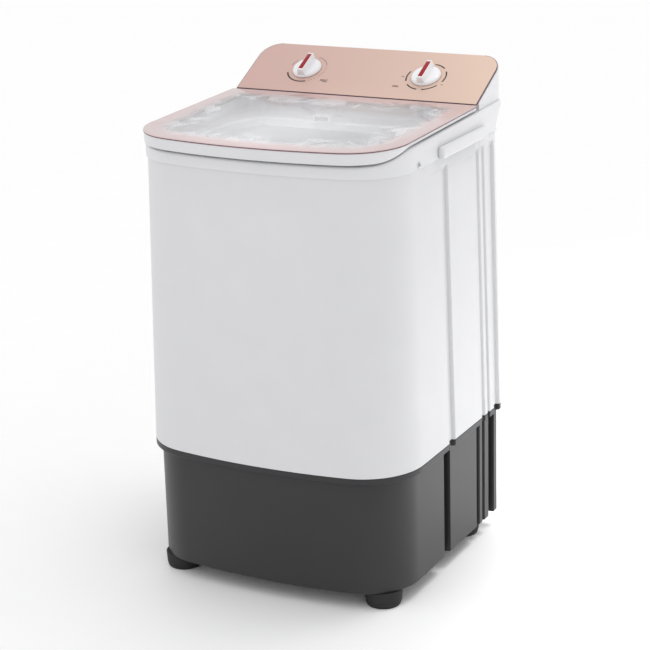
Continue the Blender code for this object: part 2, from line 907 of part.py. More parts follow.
def pulsator():
    """A low dome with three vanes, screwed to the drive shaft."""
    low = tub_floor + 0.003
    socket = tub_floor + 0.016
    crown = tub_floor + 0.024
    profile = [
        (screw_radius + gap, crown),
        (0.030, crown - 0.002),
        (pulsator_radius * 0.8, tub_floor + 0.009),
        (pulsator_radius, tub_floor + 0.006),
        (pulsator_radius, low),
        (shaft_radius + gap, low),
        (shaft_radius + gap, socket),
        (screw_radius + gap, socket),
    ]
    disc = turned("pulsator", profile, tub_plastic, steps=32, ring_shaped=True)
    reach = pulsator_radius * 0.92
    for i in range(3):
        vane = box(f"vane {i}", (0.02, -0.005, 0.005), (reach, 0.005, 0.028), bevel=0.003)
        angle = radians(120 * i + 30)
        middle = (0.02 + reach) / 2
        vane.location = (middle * cos(angle), middle * sin(angle), tub_floor + 0.0165)
        vane.rotation_euler = (0, 0, angle)
        join(disc, vane)
    small_screw("pulsator_screw", location=(0, 0, crown + gap))
    return socket


def drive_line(shaft_top):
    """Shaft, seal, bearing housing with its two bushes, and the belt drive under the tub."""
    shaft_low = pulley_z - 0.020
    spot = (0, 0, (shaft_top + shaft_low) / 2)
    shaft = rod("drive_shaft", shaft_radius, shaft_top - shaft_low, steel, steps=20, location=spot)
    cut(shaft, rod("drive shaft thread", screw_radius + gap, 0.03, location=(0, 0, shaft_top), steps=12))
    top = tub_bottom - gap
    low = top - bearing_length
    bore = shaft_radius + 0.004
    housing = [
        (0.045, top),
        (0.045, top - 0.005),
        (bore + 0.005, top - 0.009),
        (bore + 0.004, low),
        (bore, low),
        (bore, top),
    ]
    turned("bearing_housing", housing, cast_metal, steps=24, ring_shaped=True)
    for name, z in (("upper_bush", top - 0.020), ("lower_bush", low + 0.012)):
        bush = [
            (bore - gap, z + 0.008),
            (bore - gap, z - 0.008),
            (shaft_radius + gap, z - 0.008),
            (shaft_radius + gap, z + 0.008),
        ]
        turned(name, bush, bronze, steps=20, ring_shaped=True)
    seal = [
        (tub_hole_radius - gap, tub_floor + 0.001),
        (tub_hole_radius - gap, tub_bottom),
        (shaft_radius + gap, tub_bottom),
        (shaft_radius + gap, tub_floor + 0.001),
    ]
    turned("shaft_seal", seal, rubber, steps=20, ring_shaped=True)
    pulley("drive_pulley", drive_pulley_radius, shaft_radius, (0, 0, pulley_z), cast_metal, 36)
    spot = (0, 0, pulley_z - pulley_height / 2 - gap - 0.003)
    nut = rod("pulley_nut", 0.011, 0.006, steel, steps=6, location=spot)
    cut(nut, rod("pulley nut bore", shaft_radius + gap, 0.02, steps=20, location=spot))
    spot = (motor_x, motor_y, pulley_z)
    pulley("motor_pulley", motor_pulley_radius, motor_shaft_radius, spot, grey_plastic, 20)


def pulley(name, radius, bore, location, material, steps):
    """A flanged pulley whose groove holds the belt."""
    half = pulley_height / 2
    groove = belt_height / 2 + 0.0008
    rim = radius + pulley_flange
    profile = [
        (rim, half),
        (rim, groove + 0.0006),
        (radius, groove),
        (radius, -groove),
        (rim, -groove - 0.0006),
        (rim, -half),
        (bore + gap, -half),
        (bore + gap, half),
    ]
    turned(name, profile, material, steps=steps, ring_shaped=True, location=location)


def belt():
    """A flat belt round both pulleys: arcs where it wraps, straight between."""
    heading = atan2(motor_y, motor_x)
    tangent = acos((drive_pulley_radius - motor_pulley_radius) / hypot(motor_x, motor_y))

    def loop(extra):
        reach = 0.0008 + extra
        points = arc(0, 0, drive_pulley_radius + reach, heading + tangent, heading + 2 * pi - tangent, 20)
        points += arc(motor_x, motor_y, motor_pulley_radius + reach, heading - tangent, heading + tangent, 8)
        return points

    low = pulley_z - belt_height / 2
    high = pulley_z + belt_height / 2
    outer = loop(belt_thickness)
    inner = loop(0)
    rings = [ring(outer, low), ring(outer, high), ring(inner, high), ring(inner, low)]
    loft("drive_belt", rings, rubber, closed=True)


def motor():
    """Motor on a steel bracket, carried by three rubber mounts on the base floor."""
    floor = base_bottom + base_floor + gap
    plate_low = floor + mount_height + gap
    plate_high = plate_low + bracket_thickness
    body_low = plate_high + gap
    body_high = body_low + motor_height
    bore = motor_shaft_radius + gap
    profile = [
        (motor_radius * 0.6, body_high),
        (motor_radius, body_high - 0.012),
        (motor_radius, body_low + 0.012),
        (motor_radius * 0.8, body_low),
        (bore, body_low),
        (bore, body_high),
    ]
    turned("motor", profile, steel, steps=24, ring_shaped=True, location=(motor_x, motor_y, 0))
    shaft_high = pulley_z + 0.012
    shaft_low = body_low + 0.004
    spot = (motor_x, motor_y, (shaft_high + shaft_low) / 2)
    rod("motor_shaft", motor_shaft_radius, shaft_high - shaft_low, steel, steps=16, location=spot)
    low = (motor_x - bracket_half, motor_y - bracket_half, plate_low)
    high = (motor_x + bracket_half, motor_y + bracket_half, plate_high)
    box("motor_bracket", low, high, steel)
    reach = bracket_half - 0.012
    for i, (side, end) in enumerate(((-1, -1), (1, -1), (0, 1)), start=1):
        spot = (motor_x + side * reach, motor_y + end * reach, floor + mount_height / 2)
        rod(f"motor_mount_{i}", mount_radius, mount_height, rubber, steps=16, location=spot)


def capacitor():
    """A round motor capacitor standing on the base floor in its clamp."""
    floor = base_bottom + base_floor + gap
    radius = 0.018
    x, y = (0.125, 0.085)
    rod("motor_capacitor", radius, 0.070, grey_plastic, steps=20, location=(x, y, floor + 0.035))
    clamp = [
        (radius + 0.0023, 0.016),
        (radius + 0.0023, 0.002),
        (radius + 0.008, 0.002),
        (radius + 0.008, 0),
        (radius + gap, 0),
        (radius + gap, 0.016),
    ]
    turned("capacitor_clamp", clamp, steel, steps=20, ring_shaped=True, location=(x, y, floor))


# --- water -----------------------------------------------------------------------------------------------


def drain():
    """Valve with a spring-loaded plunger that the selector lifts, and the hose from the tub."""
    top = valve_z + valve_height
    inner = valve_radius - valve_wall
    hole = pull_rod_radius + gap
    body = [
        (valve_radius, top),
        (valve_radius, valve_z),
        (0.007, valve_z),
        (0.007, valve_z + valve_wall),
        (inner, valve_z + valve_wall),
        (inner, top - valve_wall),
        (hole, top - valve_wall),
        (hole, top),
    ]
    turned("drain_valve_body", body, grey_plastic, steps=20, ring_shaped=True, location=(drain_x, drain_y, 0))
    seat = valve_z + valve_wall + gap
    head = seat + 0.006
    rod_top = seam + 0.022
    plunger = [
        (0, rod_top),
        (pull_rod_radius, rod_top),
        (pull_rod_radius, head),
        (inner - gap, head),
        (inner - gap, seat),
        (0, seat),
    ]
    turned("drain_pull_rod", plunger, grey_plastic, steps=12, location=(drain_x, drain_y, 0))
    low = head + gap + spring_wire
    high = top - valve_wall - gap - spring_wire
    steps = 40
    coil = []
    for i in range(steps + 1):
        angle = 2 * pi * i / 8
        coil.append(
            (
                drain_x + spring_radius * cos(angle),
                drain_y + spring_radius * sin(angle),
                low + (high - low) * i / steps,
            )
        )
    tube("drain_valve_spring", coil, spring_wire, steel, sides=1)

    away = Vector((-0.478, -0.878, 0))
    side = Vector((drain_x, drain_y, valve_z + 0.022)) + away * (valve_radius + gap)
    port = Vector((0.070, 0.118, tub_bottom - gap))
    below = [port + Vector((0, 0, -drop)) for drop in (0.004, 0.026)]
    knots = below + [side + away * 0.028, side + away * 0.006]
    tube("tub_drain_hose", [port] + smooth_path(knots, 5) + [side], hose_radius, rubber)


def drain_outlet(base):
    """The hose from the valve down to the spigot in the base's rear wall."""
    z = base_bottom + 0.048
    knots = [
        Vector((drain_x, drain_y, valve_z - gap)),
        Vector((drain_x, drain_y - 0.002, valve_z - 0.050)),
        Vector((drain_x, drain_y - 0.012, z + 0.028)),
        Vector((drain_x, drain_y + 0.008, z + 0.002)),
        Vector((drain_x, half_depth + 0.012, z)),
    ]
    tube("drain_outlet", smooth_path(knots, 6), hose_radius, grey_plastic)
    spot = (drain_x, half_depth, z)
    cut(base, rod("drain outlet hole", hose_radius + 0.001, 0.05, location=spot, turn=(pi / 2, 0, 0)))


def water_inlet(housing, frame):
    """Threaded port at the back of the console, the hose inside it and the spout over the tub."""
    z = lid_plane(0.022)(0, half_depth)
    spot = (inlet_x, console_rear, z)
    profile = [
        (0.0105, inlet_reach),
        (0.0105, 0.004),
        (0.015, 0.004),
        (0.015, gap),
        (0.009, gap),
        (0.009, -0.012),
        (0.0065, -0.012),
        (0.0065, inlet_reach),
    ]
    turn = (-pi / 2, 0, 0)
    turned("water_inlet_port", profile, grey_plastic, steps=20, ring_shaped=True, location=spot, turn=turn)
    cut(housing, rod("inlet hole", 0.009 + gap, 0.03, location=spot, turn=(pi / 2, 0, 0)))
    low = recess_z + gap
    high = low + 0.012
    wall_y = lid_rear + recess_behind_lid
    start = (inlet_x, wall_y + frame_wall + 0.006)
    end = (inlet_x + 0.012, lid_rear - wash_opening_rear_web - 0.012)

    def section(spot, half, wall):
        x, y = spot
        return [
            (x - half + wall, y, low + wall),
            (x + half - wall, y, low + wall),
            (x + half - wall, y, high - wall),
            (x - half + wall, y, high - wall),
        ]

    rings = [
        section(start, 0.012, 0.0),
        section(end, 0.015, 0.0),
        section(end, 0.015, 0.002),
        section(start, 0.012, 0.002),
    ]
    loft("water_inlet_spout", rings, white_plastic, closed=True)
    corner = (inlet_x - 0.014, wall_y - 0.004, low - gap / 2)
    cut(frame, box("spout hole", corner, (inlet_x + 0.016, wall_y + 0.012, high + gap)))
    middle = (low + high) / 2
    knots = [
        Vector((inlet_x, console_rear - 0.012 - gap, z)),
        Vector((inlet_x, console_rear - 0.040, z - 0.004)),
        Vector((inlet_x, start[1] + 0.040, middle + 0.030)),
        Vector((inlet_x, start[1] + 0.020, middle + 0.002)),
        Vector((inlet_x, start[1] + gap, middle)),
    ]
    tube("inlet_hose", smooth_path(knots, 5), 0.0055, rubber)


# --- build -----------------------------------------------------------------------------------------------

clear_scene()
parts = new_collection("portable mini washer")
cutters = new_collection("cutters")
machine = bpy.data.objects.new("machine", None)
parts.objects.link(machine)
machine.location = (0, (half_depth + max(lid_overhang, cabinet_draft) - console_rear - inlet_reach) / 2, 0)

white_plastic = new_material("moulded white plastic", (0.80, 0.80, 0.80), 0.45)
tub_plastic = new_material("white tub plastic", (0.78, 0.80, 0.80), 0.40)
charcoal_plastic = new_material("charcoal base plastic", (0.045, 0.045, 0.047), 0.42)
grey_plastic = new_material("grey plastic", (0.45, 0.46, 0.47), 0.50)
clear_sheet = new_material("clear lid sheet", (0.90, 0.90, 0.92), 0.08, alpha=0.35)
rose_fascia = new_material("rose gold fascia", (0.80, 0.60, 0.50), 0.30, metallic=0.3)
red_plastic = new_material("red insert", (0.45, 0.01, 0.02), 0.30)
rubber = new_material("black rubber", (0.02, 0.02, 0.02), 0.80)
steel = new_material("zinc-plated steel", (0.60, 0.60, 0.62), 0.35, metallic=1.0)
cast_metal = new_material("cast aluminium", (0.55, 0.55, 0.56), 0.45, metallic=1.0)
bronze = new_material("sintered bronze", (0.45, 0.30, 0.14), 0.45, metallic=1.0)

cabinet = cabinet_shell()
base = base_tray()
guard()
feet(base)
rear_cover(cabinet)
frame = top_frame(cabinet)
lid()
housing = console()
knob("timer", timer_x)
knob("selector", selector_x)
wash_tub()
lint_filter()
drive_line(pulsator() - gap)
belt()
motor()
capacitor()
drain()
drain_outlet(base)
water_inlet(housing, frame)
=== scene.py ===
import json
from math import atan2, cos, pi, radians, sin, sqrt, tan

import bmesh
import bpy
from mathutils import Matrix, Vector


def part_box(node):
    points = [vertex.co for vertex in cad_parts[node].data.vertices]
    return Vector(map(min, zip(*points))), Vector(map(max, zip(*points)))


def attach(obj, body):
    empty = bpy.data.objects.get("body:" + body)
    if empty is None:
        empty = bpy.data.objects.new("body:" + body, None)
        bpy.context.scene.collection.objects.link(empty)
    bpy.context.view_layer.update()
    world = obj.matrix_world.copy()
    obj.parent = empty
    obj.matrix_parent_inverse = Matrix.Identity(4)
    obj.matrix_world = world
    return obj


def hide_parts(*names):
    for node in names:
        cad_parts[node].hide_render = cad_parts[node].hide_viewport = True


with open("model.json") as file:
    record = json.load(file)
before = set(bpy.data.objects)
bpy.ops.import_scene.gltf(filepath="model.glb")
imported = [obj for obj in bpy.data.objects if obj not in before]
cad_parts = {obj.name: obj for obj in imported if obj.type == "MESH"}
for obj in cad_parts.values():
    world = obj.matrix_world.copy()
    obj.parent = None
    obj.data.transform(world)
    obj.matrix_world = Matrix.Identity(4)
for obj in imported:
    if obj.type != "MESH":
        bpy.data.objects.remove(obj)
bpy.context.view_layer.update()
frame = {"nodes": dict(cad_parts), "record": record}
print("frame loaded")

# Shape helpers. Plans are measured from the tub's axis, and tubY moves them to their place.

tubLow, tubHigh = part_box("wash_tub")
tubY = (tubLow.y + tubHigh.y) / 2
gap = 0.0003


def smoothStep(low, high, value):
    share = min(max((value - low) / (high - low), 0.0), 1.0)
    return share * share * (3 - 2 * share)


def arcPoints(centreX, centreY, radius, start, end, steps):
    angles = [start + (end - start) * i / steps for i in range(steps + 1)]
    return [(centreX + radius * cos(a), centreY + radius * sin(a)) for a in angles]


def channelPoints(half, cuts, grow):
    profile = ((0.0, 0.0), (0.12, 0.3), (0.5, 0.65), (0.88, 0.9), (1.0, 1.0))
    lean = 0.0022
    points = []
    for y, width, depth in cuts:
        reach = width / 2 + grow
        points += [(half - depth * a, y - reach - lean * (1 - b)) for a, b in profile]
        points += [(half - depth * a, y + reach + lean * (1 - b)) for a, b in reversed(profile)]
    return points


def planOutline(plan, inset=0.0, cuts=(), grow=0.0):
    steps = {"front": 30, "corner": 16, "side": 12, "rear": 6}
    frontRadius = (plan["half"] ** 2 + plan["bow"] ** 2) / (2 * plan["bow"])
    centreY = frontRadius - plan["front"]
    frontRadius -= inset
    half = plan["half"] - inset
    rear = plan["rear"] - inset
    corner = plan["corner"] - inset
    small = max(plan["rearCorner"] - inset, 0.001)
    kneeY = centreY - sqrt((frontRadius - corner) ** 2 - (half - corner) ** 2)
    tangent = atan2(kneeY - centreY, half - corner)
    right = arcPoints(0, centreY, frontRadius, -pi / 2, tangent, steps["front"])
    right += arcPoints(half - corner, kneeY, corner, tangent, 0, steps["corner"])[1:]
    if cuts:
        right += channelPoints(half, cuts, grow)
    else:
        run = rear - small - kneeY
        right += [(half, kneeY + run * i / steps["side"]) for i in range(1, steps["side"])]
    right += arcPoints(half - small, rear - small, small, 0, pi / 2, steps["rear"])
    return right + [(-x, y) for x, y in reversed(right[1:])]


def clippedCircle(guide, radius, rearY):
    points = []
    for x, y in guide:
        angle = atan2(y, x)
        reach = radius
        if sin(angle) * radius > rearY:
            reach = rearY / sin(angle)
        points.append((reach * cos(angle), reach * sin(angle)))
    return points


def ring(points, height):
    if callable(height):
        return [Vector((x, y + tubY, height(x, y))) for x, y in points]
    return [Vector((x, y + tubY, height)) for x, y in points]


def shade(mesh, degrees=32):
    mesh.shade_smooth()
    mesh.set_sharp_from_angle(angle=radians(degrees))


def meshObject(name, bm, material):
    bmesh.ops.recalc_face_normals(bm, faces=bm.faces)
    mesh = bpy.data.meshes.new(name)
    bm.to_mesh(mesh)
    bm.free()
    mesh.materials.append(material)
    made = bpy.data.objects.new(name, mesh)
    bpy.context.scene.collection.objects.link(made)
    return made


def loft(name, rings, material, closed=False):
    bm = bmesh.new()
    rows = [[bm.verts.new(point) for point in row] for row in rings]
    count = len(rows[0])
    pairs = list(zip(rows, rows[1:]))
    if closed:
        pairs.append((rows[-1], rows[0]))
    for low, high in pairs:
        for i in range(count):
            j = (i + 1) % count
            bm.faces.new((low[i], low[j], high[j], high[i]))
    if not closed:
        bm.faces.new(rows[0])
        bm.faces.new(rows[-1])
    made = meshObject(name, bm, material)
    shade(made.data)
    return made


def block(name, low, high, material, bevel=0.0, segments=3, taper=1.0):
    bm = bmesh.new()
    bmesh.ops.create_cube(bm, size=1.0)
    bmesh.ops.scale(bm, vec=Vector(high) - Vector(low), verts=bm.verts)
    bmesh.ops.translate(bm, vec=(Vector(high) + Vector(low)) / 2, verts=bm.verts)
    middle = (low[0] + high[0]) / 2
    for vert in bm.verts:
        if vert.co.z > (low[2] + high[2]) / 2:
            vert.co.x = middle + (vert.co.x - middle) * taper
    if bevel:
        bmesh.ops.bevel(bm, geom=bm.edges[:], offset=bevel, segments=segments, profile=0.5, affect="EDGES")
    made = meshObject(name, bm, material)
    shade(made.data, 40)
    return made


def turned(name, profile, material, steps=64, closed=False, place=None):
    bm = bmesh.new()
    rows = []
    for radius, z in profile:
        if radius < 1e-6:
            rows.append([bm.verts.new((0, 0, z))] * steps)
        else:
            rows.append([bm.verts.new((radius * cos(2 * pi * i / steps), radius * sin(2 * pi * i / steps), z))
                         for i in range(steps)])
    pairs = list(zip(rows, rows[1:]))
    if closed:
        pairs.append((rows[-1], rows[0]))
    for low, high in pairs:
        for i in range(steps):
            j = (i + 1) % steps
            corners = []
            for vert in (low[i], low[j], high[j], high[i]):
                if vert not in corners:
                    corners.append(vert)
            if len(corners) > 2:
                bm.faces.new(corners)
    if place is not None:
        bmesh.ops.transform(bm, matrix=place, verts=bm.verts)
    made = meshObject(name, bm, material)
    shade(made.data)
    return made


def bake(obj):
    bpy.context.view_layer.update()
    graph = bpy.context.evaluated_depsgraph_get()
    mesh = bpy.data.meshes.new_from_object(obj.evaluated_get(graph), depsgraph=graph)
    obj.modifiers.clear()
    obj.data = mesh
    return obj


def carve(target, tools, operation="DIFFERENCE"):
    for tool in tools:
        step = target.modifiers.new("carve", "BOOLEAN")
        step.operation = operation
        step.solver = "EXACT"
        step.object = tool
    bake(target)
    for tool in tools:
        bpy.data.objects.remove(tool)
    shade(target.data)
    return target


def stand(piece, body, slot, *nodes):
    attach(piece, body)
    if nodes:
        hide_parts(*nodes)


# Material helpers


def linear(hexColour):
    channels = [int(hexColour[i:i + 2], 16) / 255 for i in (0, 2, 4)]
    return tuple(c / 12.92 if c <= 0.04045 else ((c + 0.055) / 1.055) ** 2.4 for c in channels) + (1.0,)


def addNode(tree, kind, settings=None, **inputs):
    node = tree.nodes.new(kind)
    for key, value in (settings or {}).items():
        setattr(node, key, value)
    for key, value in inputs.items():
        byPlace = key[0] == "i" and key[1:].isdigit()  # i0 is the first socket, and other keys are names
        socket = node.inputs[int(key[1:]) if byPlace else key.replace("_", " ")]
        if isinstance(value, bpy.types.NodeSocket):
            tree.links.new(value, socket)
        else:
            socket.default_value = value
    return node


def newMaterial(name):
    made = bpy.data.materials.new(name)
    made.use_nodes = True
    return made, made.node_tree, made.node_tree.nodes["Principled BSDF"]


def surface(name, colour, shadeColour, roughness, grainMm=1.2, bump=0.15, metallic=0.0, coat=0.0,
            specular=0.5):
    # large soft patches in the colour, and one fine grain that drives both height and roughness
    patchMm = 60
    roughSpread = 0.04
    grainHeight = 0.00005
    made, tree, shader = newMaterial(name)
    place = addNode(tree, "ShaderNodeTexCoord").outputs["Object"]
    patches = addNode(tree, "ShaderNodeTexNoise", Vector=place, Scale=1000 / patchMm, Detail=3.0)
    mix = addNode(tree, "ShaderNodeMix", {"data_type": "RGBA"}, i0=patches.outputs["Fac"],
                  i6=linear(shadeColour), i7=linear(colour))
    tree.links.new(mix.outputs[2], shader.inputs["Base Color"])
    grain = addNode(tree, "ShaderNodeTexNoise", Vector=place, Scale=1000 / grainMm, Detail=4.0)
    rough = addNode(tree, "ShaderNodeMapRange", Value=grain.outputs["Fac"], To_Min=roughness - roughSpread,
                    To_Max=roughness + roughSpread)
    tree.links.new(rough.outputs["Result"], shader.inputs["Roughness"])
    relief = addNode(tree, "ShaderNodeBump", Strength=bump, Distance=grainHeight, Height=grain.outputs["Fac"])
    tree.links.new(relief.outputs["Normal"], shader.inputs["Normal"])
    shader.inputs["Metallic"].default_value = metallic
    shader.inputs["Coat Weight"].default_value = coat
    shader.inputs["Coat Roughness"].default_value = 0.12
    shader.inputs["Specular IOR Level"].default_value = specular
    return made


def fadeAcross(material, left, right, halfWidth):
    # the printed film runs from a pinker left end to a more golden right end
    tree = material.node_tree
    place = addNode(tree, "ShaderNodeTexCoord").outputs["Object"]
    across = addNode(tree, "ShaderNodeSeparateXYZ", Vector=place).outputs["X"]
    share = addNode(tree, "ShaderNodeMapRange", Value=across, From_Min=-halfWidth, From_Max=halfWidth)
    mix = addNode(tree, "ShaderNodeMix", {"data_type": "RGBA"}, i0=share.outputs["Result"], i6=linear(left),
                  i7=linear(right))
    tree.links.new(mix.outputs[2], tree.nodes["Principled BSDF"].inputs["Base Color"])
    return material


finish = {
    # fine-textured polypropylene mouldings: even, slightly soft highlights, softest on the cabinet
    "white": surface("mouldedWhitePolypropylene", "D9D9DB", "D4D4D7", 0.36, bump=0.10),
    "cabinetWhite": surface("texturedWhitePolypropylene", "D5D5D7", "D0D0D3", 0.42, bump=0.14),
    # the tub's mould is polished, so it catches sharper lights; its white is painted lighter than the other
    # whites, painted light that makes up for the dim inside of the tub
    "brightenedTubWhite": surface("polishedTubPolypropyleneBrightened", "ECEEEF", "E6E9EB", 0.26, bump=0.06),
    # the base's mould has a coarser spark-eroded texture, so it looks satin and shows light from the side
    "charcoal": surface("sparkTexturedCharcoalPlastic", "272729", "232325", 0.40, grainMm=0.9, bump=0.25,
                        specular=0.45),
    # plain moulded greys, a step darker than the whites beside them
    "grey": surface("mouldedGreyPlastic", "A9ACAF", "9FA3A6", 0.45),
    "filter": surface("paleFilterPlastic", "D3D6D8", "CBCFD2", 0.40),
    # metallic ink under a clear film: a tint with a thin gloss over it
    "fascia": fadeAcross(surface("roseGoldPrintedFilm", "D3B0A9", "DBC0AE", 0.32, grainMm=0.6, bump=0.04,
                                 metallic=0.10, coat=0.25), "CCA79F", "D6BAA8", 0.21),
    # a thin dark outline painted on the upright edges round the panel and the lid: painted shade for the dark
    # line those edges show
    "darkEdge": surface("plumPaintedEdgeShade", "5A4350", "4E3A46", 0.35, bump=0.05),
    # screen ink: a satin, dark line on the glossier film
    "print": surface("brownScreenInk", "281B19", "221614", 0.45, bump=0.02),
    # ABS from a polished mould: small bright highlights
    "knob": surface("glossWhiteAbs", "EDEDEF", "E8E8EB", 0.20, bump=0.04, coat=0.3),
    "red": surface("glossRedAbs", "A30D19", "950B16", 0.30, bump=0.04, specular=0.3),
    # rubber scatters nearly all its light, so it stays dull and dark
    "rubber": surface("blackNitrileRubber", "1C1C1D", "171717", 0.72, grainMm=0.8, bump=0.4),
    # bare metals: bright plating, a grainy casting, and a brown porous bush
    "steel": surface("zincPlatedSteel", "B9BCC0", "AEB1B6", 0.32, grainMm=0.5, metallic=1.0, bump=0.1),
    "aluminium": surface("sandCastAluminium", "A8AAAD", "9B9DA0", 0.48, grainMm=1.5, metallic=1.0, bump=0.4),
    "bronze": surface("sinteredBronze", "9A7748", "8B6A3E", 0.50, grainMm=0.4, metallic=1.0, bump=0.2),
}


def lidSheetMaterial():
    # acrylic: a printed border fades through soft frosted shapes to a clear middle under a near-white haze,
    # which is a painted reflection of the bright surroundings
    values = {
        "border": "C6A8A7", "clear": "F3F3F6", "borderAlpha": 0.93,
        "borderFull": 0.016, "borderGone": 0.050, "frostGone": 0.100,
        "reflectionHaze": 0.30, "frost": 0.24, "frostMm": 42, "shapeLow": 0.44, "shapeHigh": 0.60,
        "wavesPerMetre": 14.0, "waveReach": 0.024,
        "roughness": 0.06, "frostRoughness": 0.20,
    }
    made, tree, shader = newMaterial("printedClearAcrylic")
    place = addNode(tree, "ShaderNodeTexCoord").outputs["Object"]
    inset = addNode(tree, "ShaderNodeAttribute", {"attribute_name": "edgeDistance"}).outputs["Fac"]
    wobble = addNode(tree, "ShaderNodeTexNoise", Vector=place, Scale=values["wavesPerMetre"], Detail=1.0)
    leaves = addNode(tree, "ShaderNodeTexNoise", Vector=place, Scale=1000 / values["frostMm"], Detail=1.5,
                     Distortion=1.2)
    wavy = addNode(tree, "ShaderNodeMath", {"operation": "MULTIPLY_ADD"}, i0=wobble.outputs["Fac"],
                   i1=values["waveReach"], i2=-values["waveReach"] / 2)
    wavy = addNode(tree, "ShaderNodeMath", {"operation": "ADD"}, i0=inset, i1=wavy.outputs[0])
    fade = {"interpolation_type": "SMOOTHSTEP"}
    border = addNode(tree, "ShaderNodeMapRange", fade, Value=wavy.outputs[0], From_Min=values["borderFull"],
                     From_Max=values["borderGone"], To_Min=1.0, To_Max=0.0)
    frost = addNode(tree, "ShaderNodeMapRange", fade, Value=wavy.outputs[0], From_Min=values["borderGone"],
                    From_Max=values["frostGone"], To_Min=1.0, To_Max=0.0)
    shape = addNode(tree, "ShaderNodeMapRange", fade, Value=leaves.outputs["Fac"],
                    From_Min=values["shapeLow"], From_Max=values["shapeHigh"], To_Min=0.1, To_Max=1.0)
    veil = addNode(tree, "ShaderNodeMath", {"operation": "MULTIPLY"}, i0=frost.outputs[0],
                   i1=shape.outputs[0])
    colour = addNode(tree, "ShaderNodeMix", {"data_type": "RGBA"}, i0=border.outputs[0],
                     i6=linear(values["clear"]), i7=linear(values["border"]))
    tree.links.new(colour.outputs[2], shader.inputs["Base Color"])
    # the middle's alpha: the frost over the near-white haze, the painted reflection
    clear = addNode(tree, "ShaderNodeMath", {"operation": "MULTIPLY_ADD"}, i0=veil.outputs[0],
                    i1=values["frost"], i2=values["reflectionHaze"])
    alpha = addNode(tree, "ShaderNodeMix", {"data_type": "FLOAT"}, i0=border.outputs[0], i2=clear.outputs[0],
                    i3=values["borderAlpha"])
    tree.links.new(alpha.outputs[0], shader.inputs["Alpha"])
    rough = addNode(tree, "ShaderNodeMath", {"operation": "MULTIPLY_ADD"}, i0=veil.outputs[0],
                    i1=values["frostRoughness"], i2=values["roughness"])
    tree.links.new(rough.outputs[0], shader.inputs["Roughness"])
    shader.inputs["Specular IOR Level"].default_value = 0.8
    shader.inputs["Coat Weight"].default_value = 0.6
    shader.inputs["Coat Roughness"].default_value = 0.04
    return made


print("materials made")


# Geometry Nodes: blocks set along an arc, and screws stood on points


def newTree(name, sockets):
    tree = bpy.data.node_groups.new(name, "GeometryNodeTree")
    tree.interface.new_socket(name="Geometry", in_out="INPUT", socket_type="NodeSocketGeometry")
    for label, kind in sockets.items():
        tree.interface.new_socket(name=label, in_out="INPUT", socket_type=f"NodeSocket{kind}")
    tree.interface.new_socket(name="Geometry", in_out="OUTPUT", socket_type="NodeSocketGeometry")
    return tree, addNode(tree, "NodeGroupInput").outputs


def closeTree(tree, instances, material):
    real = addNode(tree, "GeometryNodeRealizeInstances", i0=instances.outputs[0])
    named = addNode(tree, "GeometryNodeSetMaterial", Geometry=real.outputs[0], Material=material)
    addNode(tree, "NodeGroupOutput", i0=named.outputs[0])
    return tree


def blocksOnArcTree():
    kinds = {"Count": "Int", "Radius": "Float", "Height": "Float", "Start": "Float", "Step": "Float",
             "Size": "Vector", "Finish": "Material"}
    tree, given = newTree("blocksOnArc", kinds)
    line = addNode(tree, "GeometryNodeMeshLine", Count=given["Count"], Offset=(0, 0, 0))
    index = addNode(tree, "GeometryNodeInputIndex").outputs[0]
    angle = addNode(tree, "ShaderNodeMath", {"operation": "MULTIPLY_ADD"}, i0=index, i1=given["Step"],
                    i2=given["Start"])
    reach = addNode(tree, "ShaderNodeCombineXYZ", X=given["Radius"], Z=given["Height"])
    spot = addNode(tree, "ShaderNodeVectorRotate", {"rotation_type": "Z_AXIS"}, Vector=reach.outputs[0],
                   Angle=angle.outputs[0])
    placed = addNode(tree, "GeometryNodeSetPosition", Geometry=line.outputs[0], Position=spot.outputs[0])
    cube = addNode(tree, "GeometryNodeMeshCube", Size=given["Size"])
    turn = addNode(tree, "ShaderNodeCombineXYZ", Z=angle.outputs[0])
    copies = addNode(tree, "GeometryNodeInstanceOnPoints", Points=placed.outputs[0], Instance=cube.outputs[0],
                     Rotation=turn.outputs[0])
    return closeTree(tree, copies, given["Finish"])


def screwsTree():
    tree, given = newTree("screwsOnPoints", {"Screw": "Object", "Finish": "Material"})
    shape = addNode(tree, "GeometryNodeObjectInfo", Object=given["Screw"])
    turn = addNode(tree, "GeometryNodeInputNamedAttribute", {"data_type": "FLOAT_VECTOR"}, Name="turn")
    copies = addNode(tree, "GeometryNodeInstanceOnPoints", Points=given["Geometry"],
                     Instance=shape.outputs["Geometry"], Rotation=turn.outputs[0])
    return closeTree(tree, copies, given["Finish"])


def grow(name, tree, inputs, points=()):
    # the tree runs on an object that holds only its points, and the baked result is a plain mesh
    mesh = bpy.data.meshes.new(name)
    mesh.from_pydata([spot for spot, _ in points], [], [])
    if points:
        turns = mesh.attributes.new("turn", "FLOAT_VECTOR", "POINT")
        for entry, (_, turn) in zip(turns.data, points):
            entry.vector = turn
    made = bpy.data.objects.new(name, mesh)
    bpy.context.scene.collection.objects.link(made)
    step = made.modifiers.new("grow", "NODES")
    step.node_group = tree
    for item in tree.interface.items_tree:
        if item.item_type == "SOCKET" and item.in_out == "INPUT" and item.name in inputs:
            step[item.identifier] = inputs[item.name]
    return bake(made)


arcTree = blocksOnArcTree()
screwTree = screwsTree()


# Casing

casing = {
    "half": 0.230,
    "depth": 0.215,
    "corner": 0.092,
    "bow": 0.029,
    "rearCorner": 0.012,
    "draft": 0.011,
    "wall": 0.003,
    # each channel: its Y, its width, and its depth in the cabinet and in the base
    "channels": ((0.000, 0.021, 0.006, 0.014), (0.130, 0.010, 0.004, 0.007), (0.153, 0.007, 0.005, 0.008),
                 (0.187, 0.021, 0.006, 0.013)),
}
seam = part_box("top_frame")[0].z
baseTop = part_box("base")[1].z
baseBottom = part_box("base")[0].z


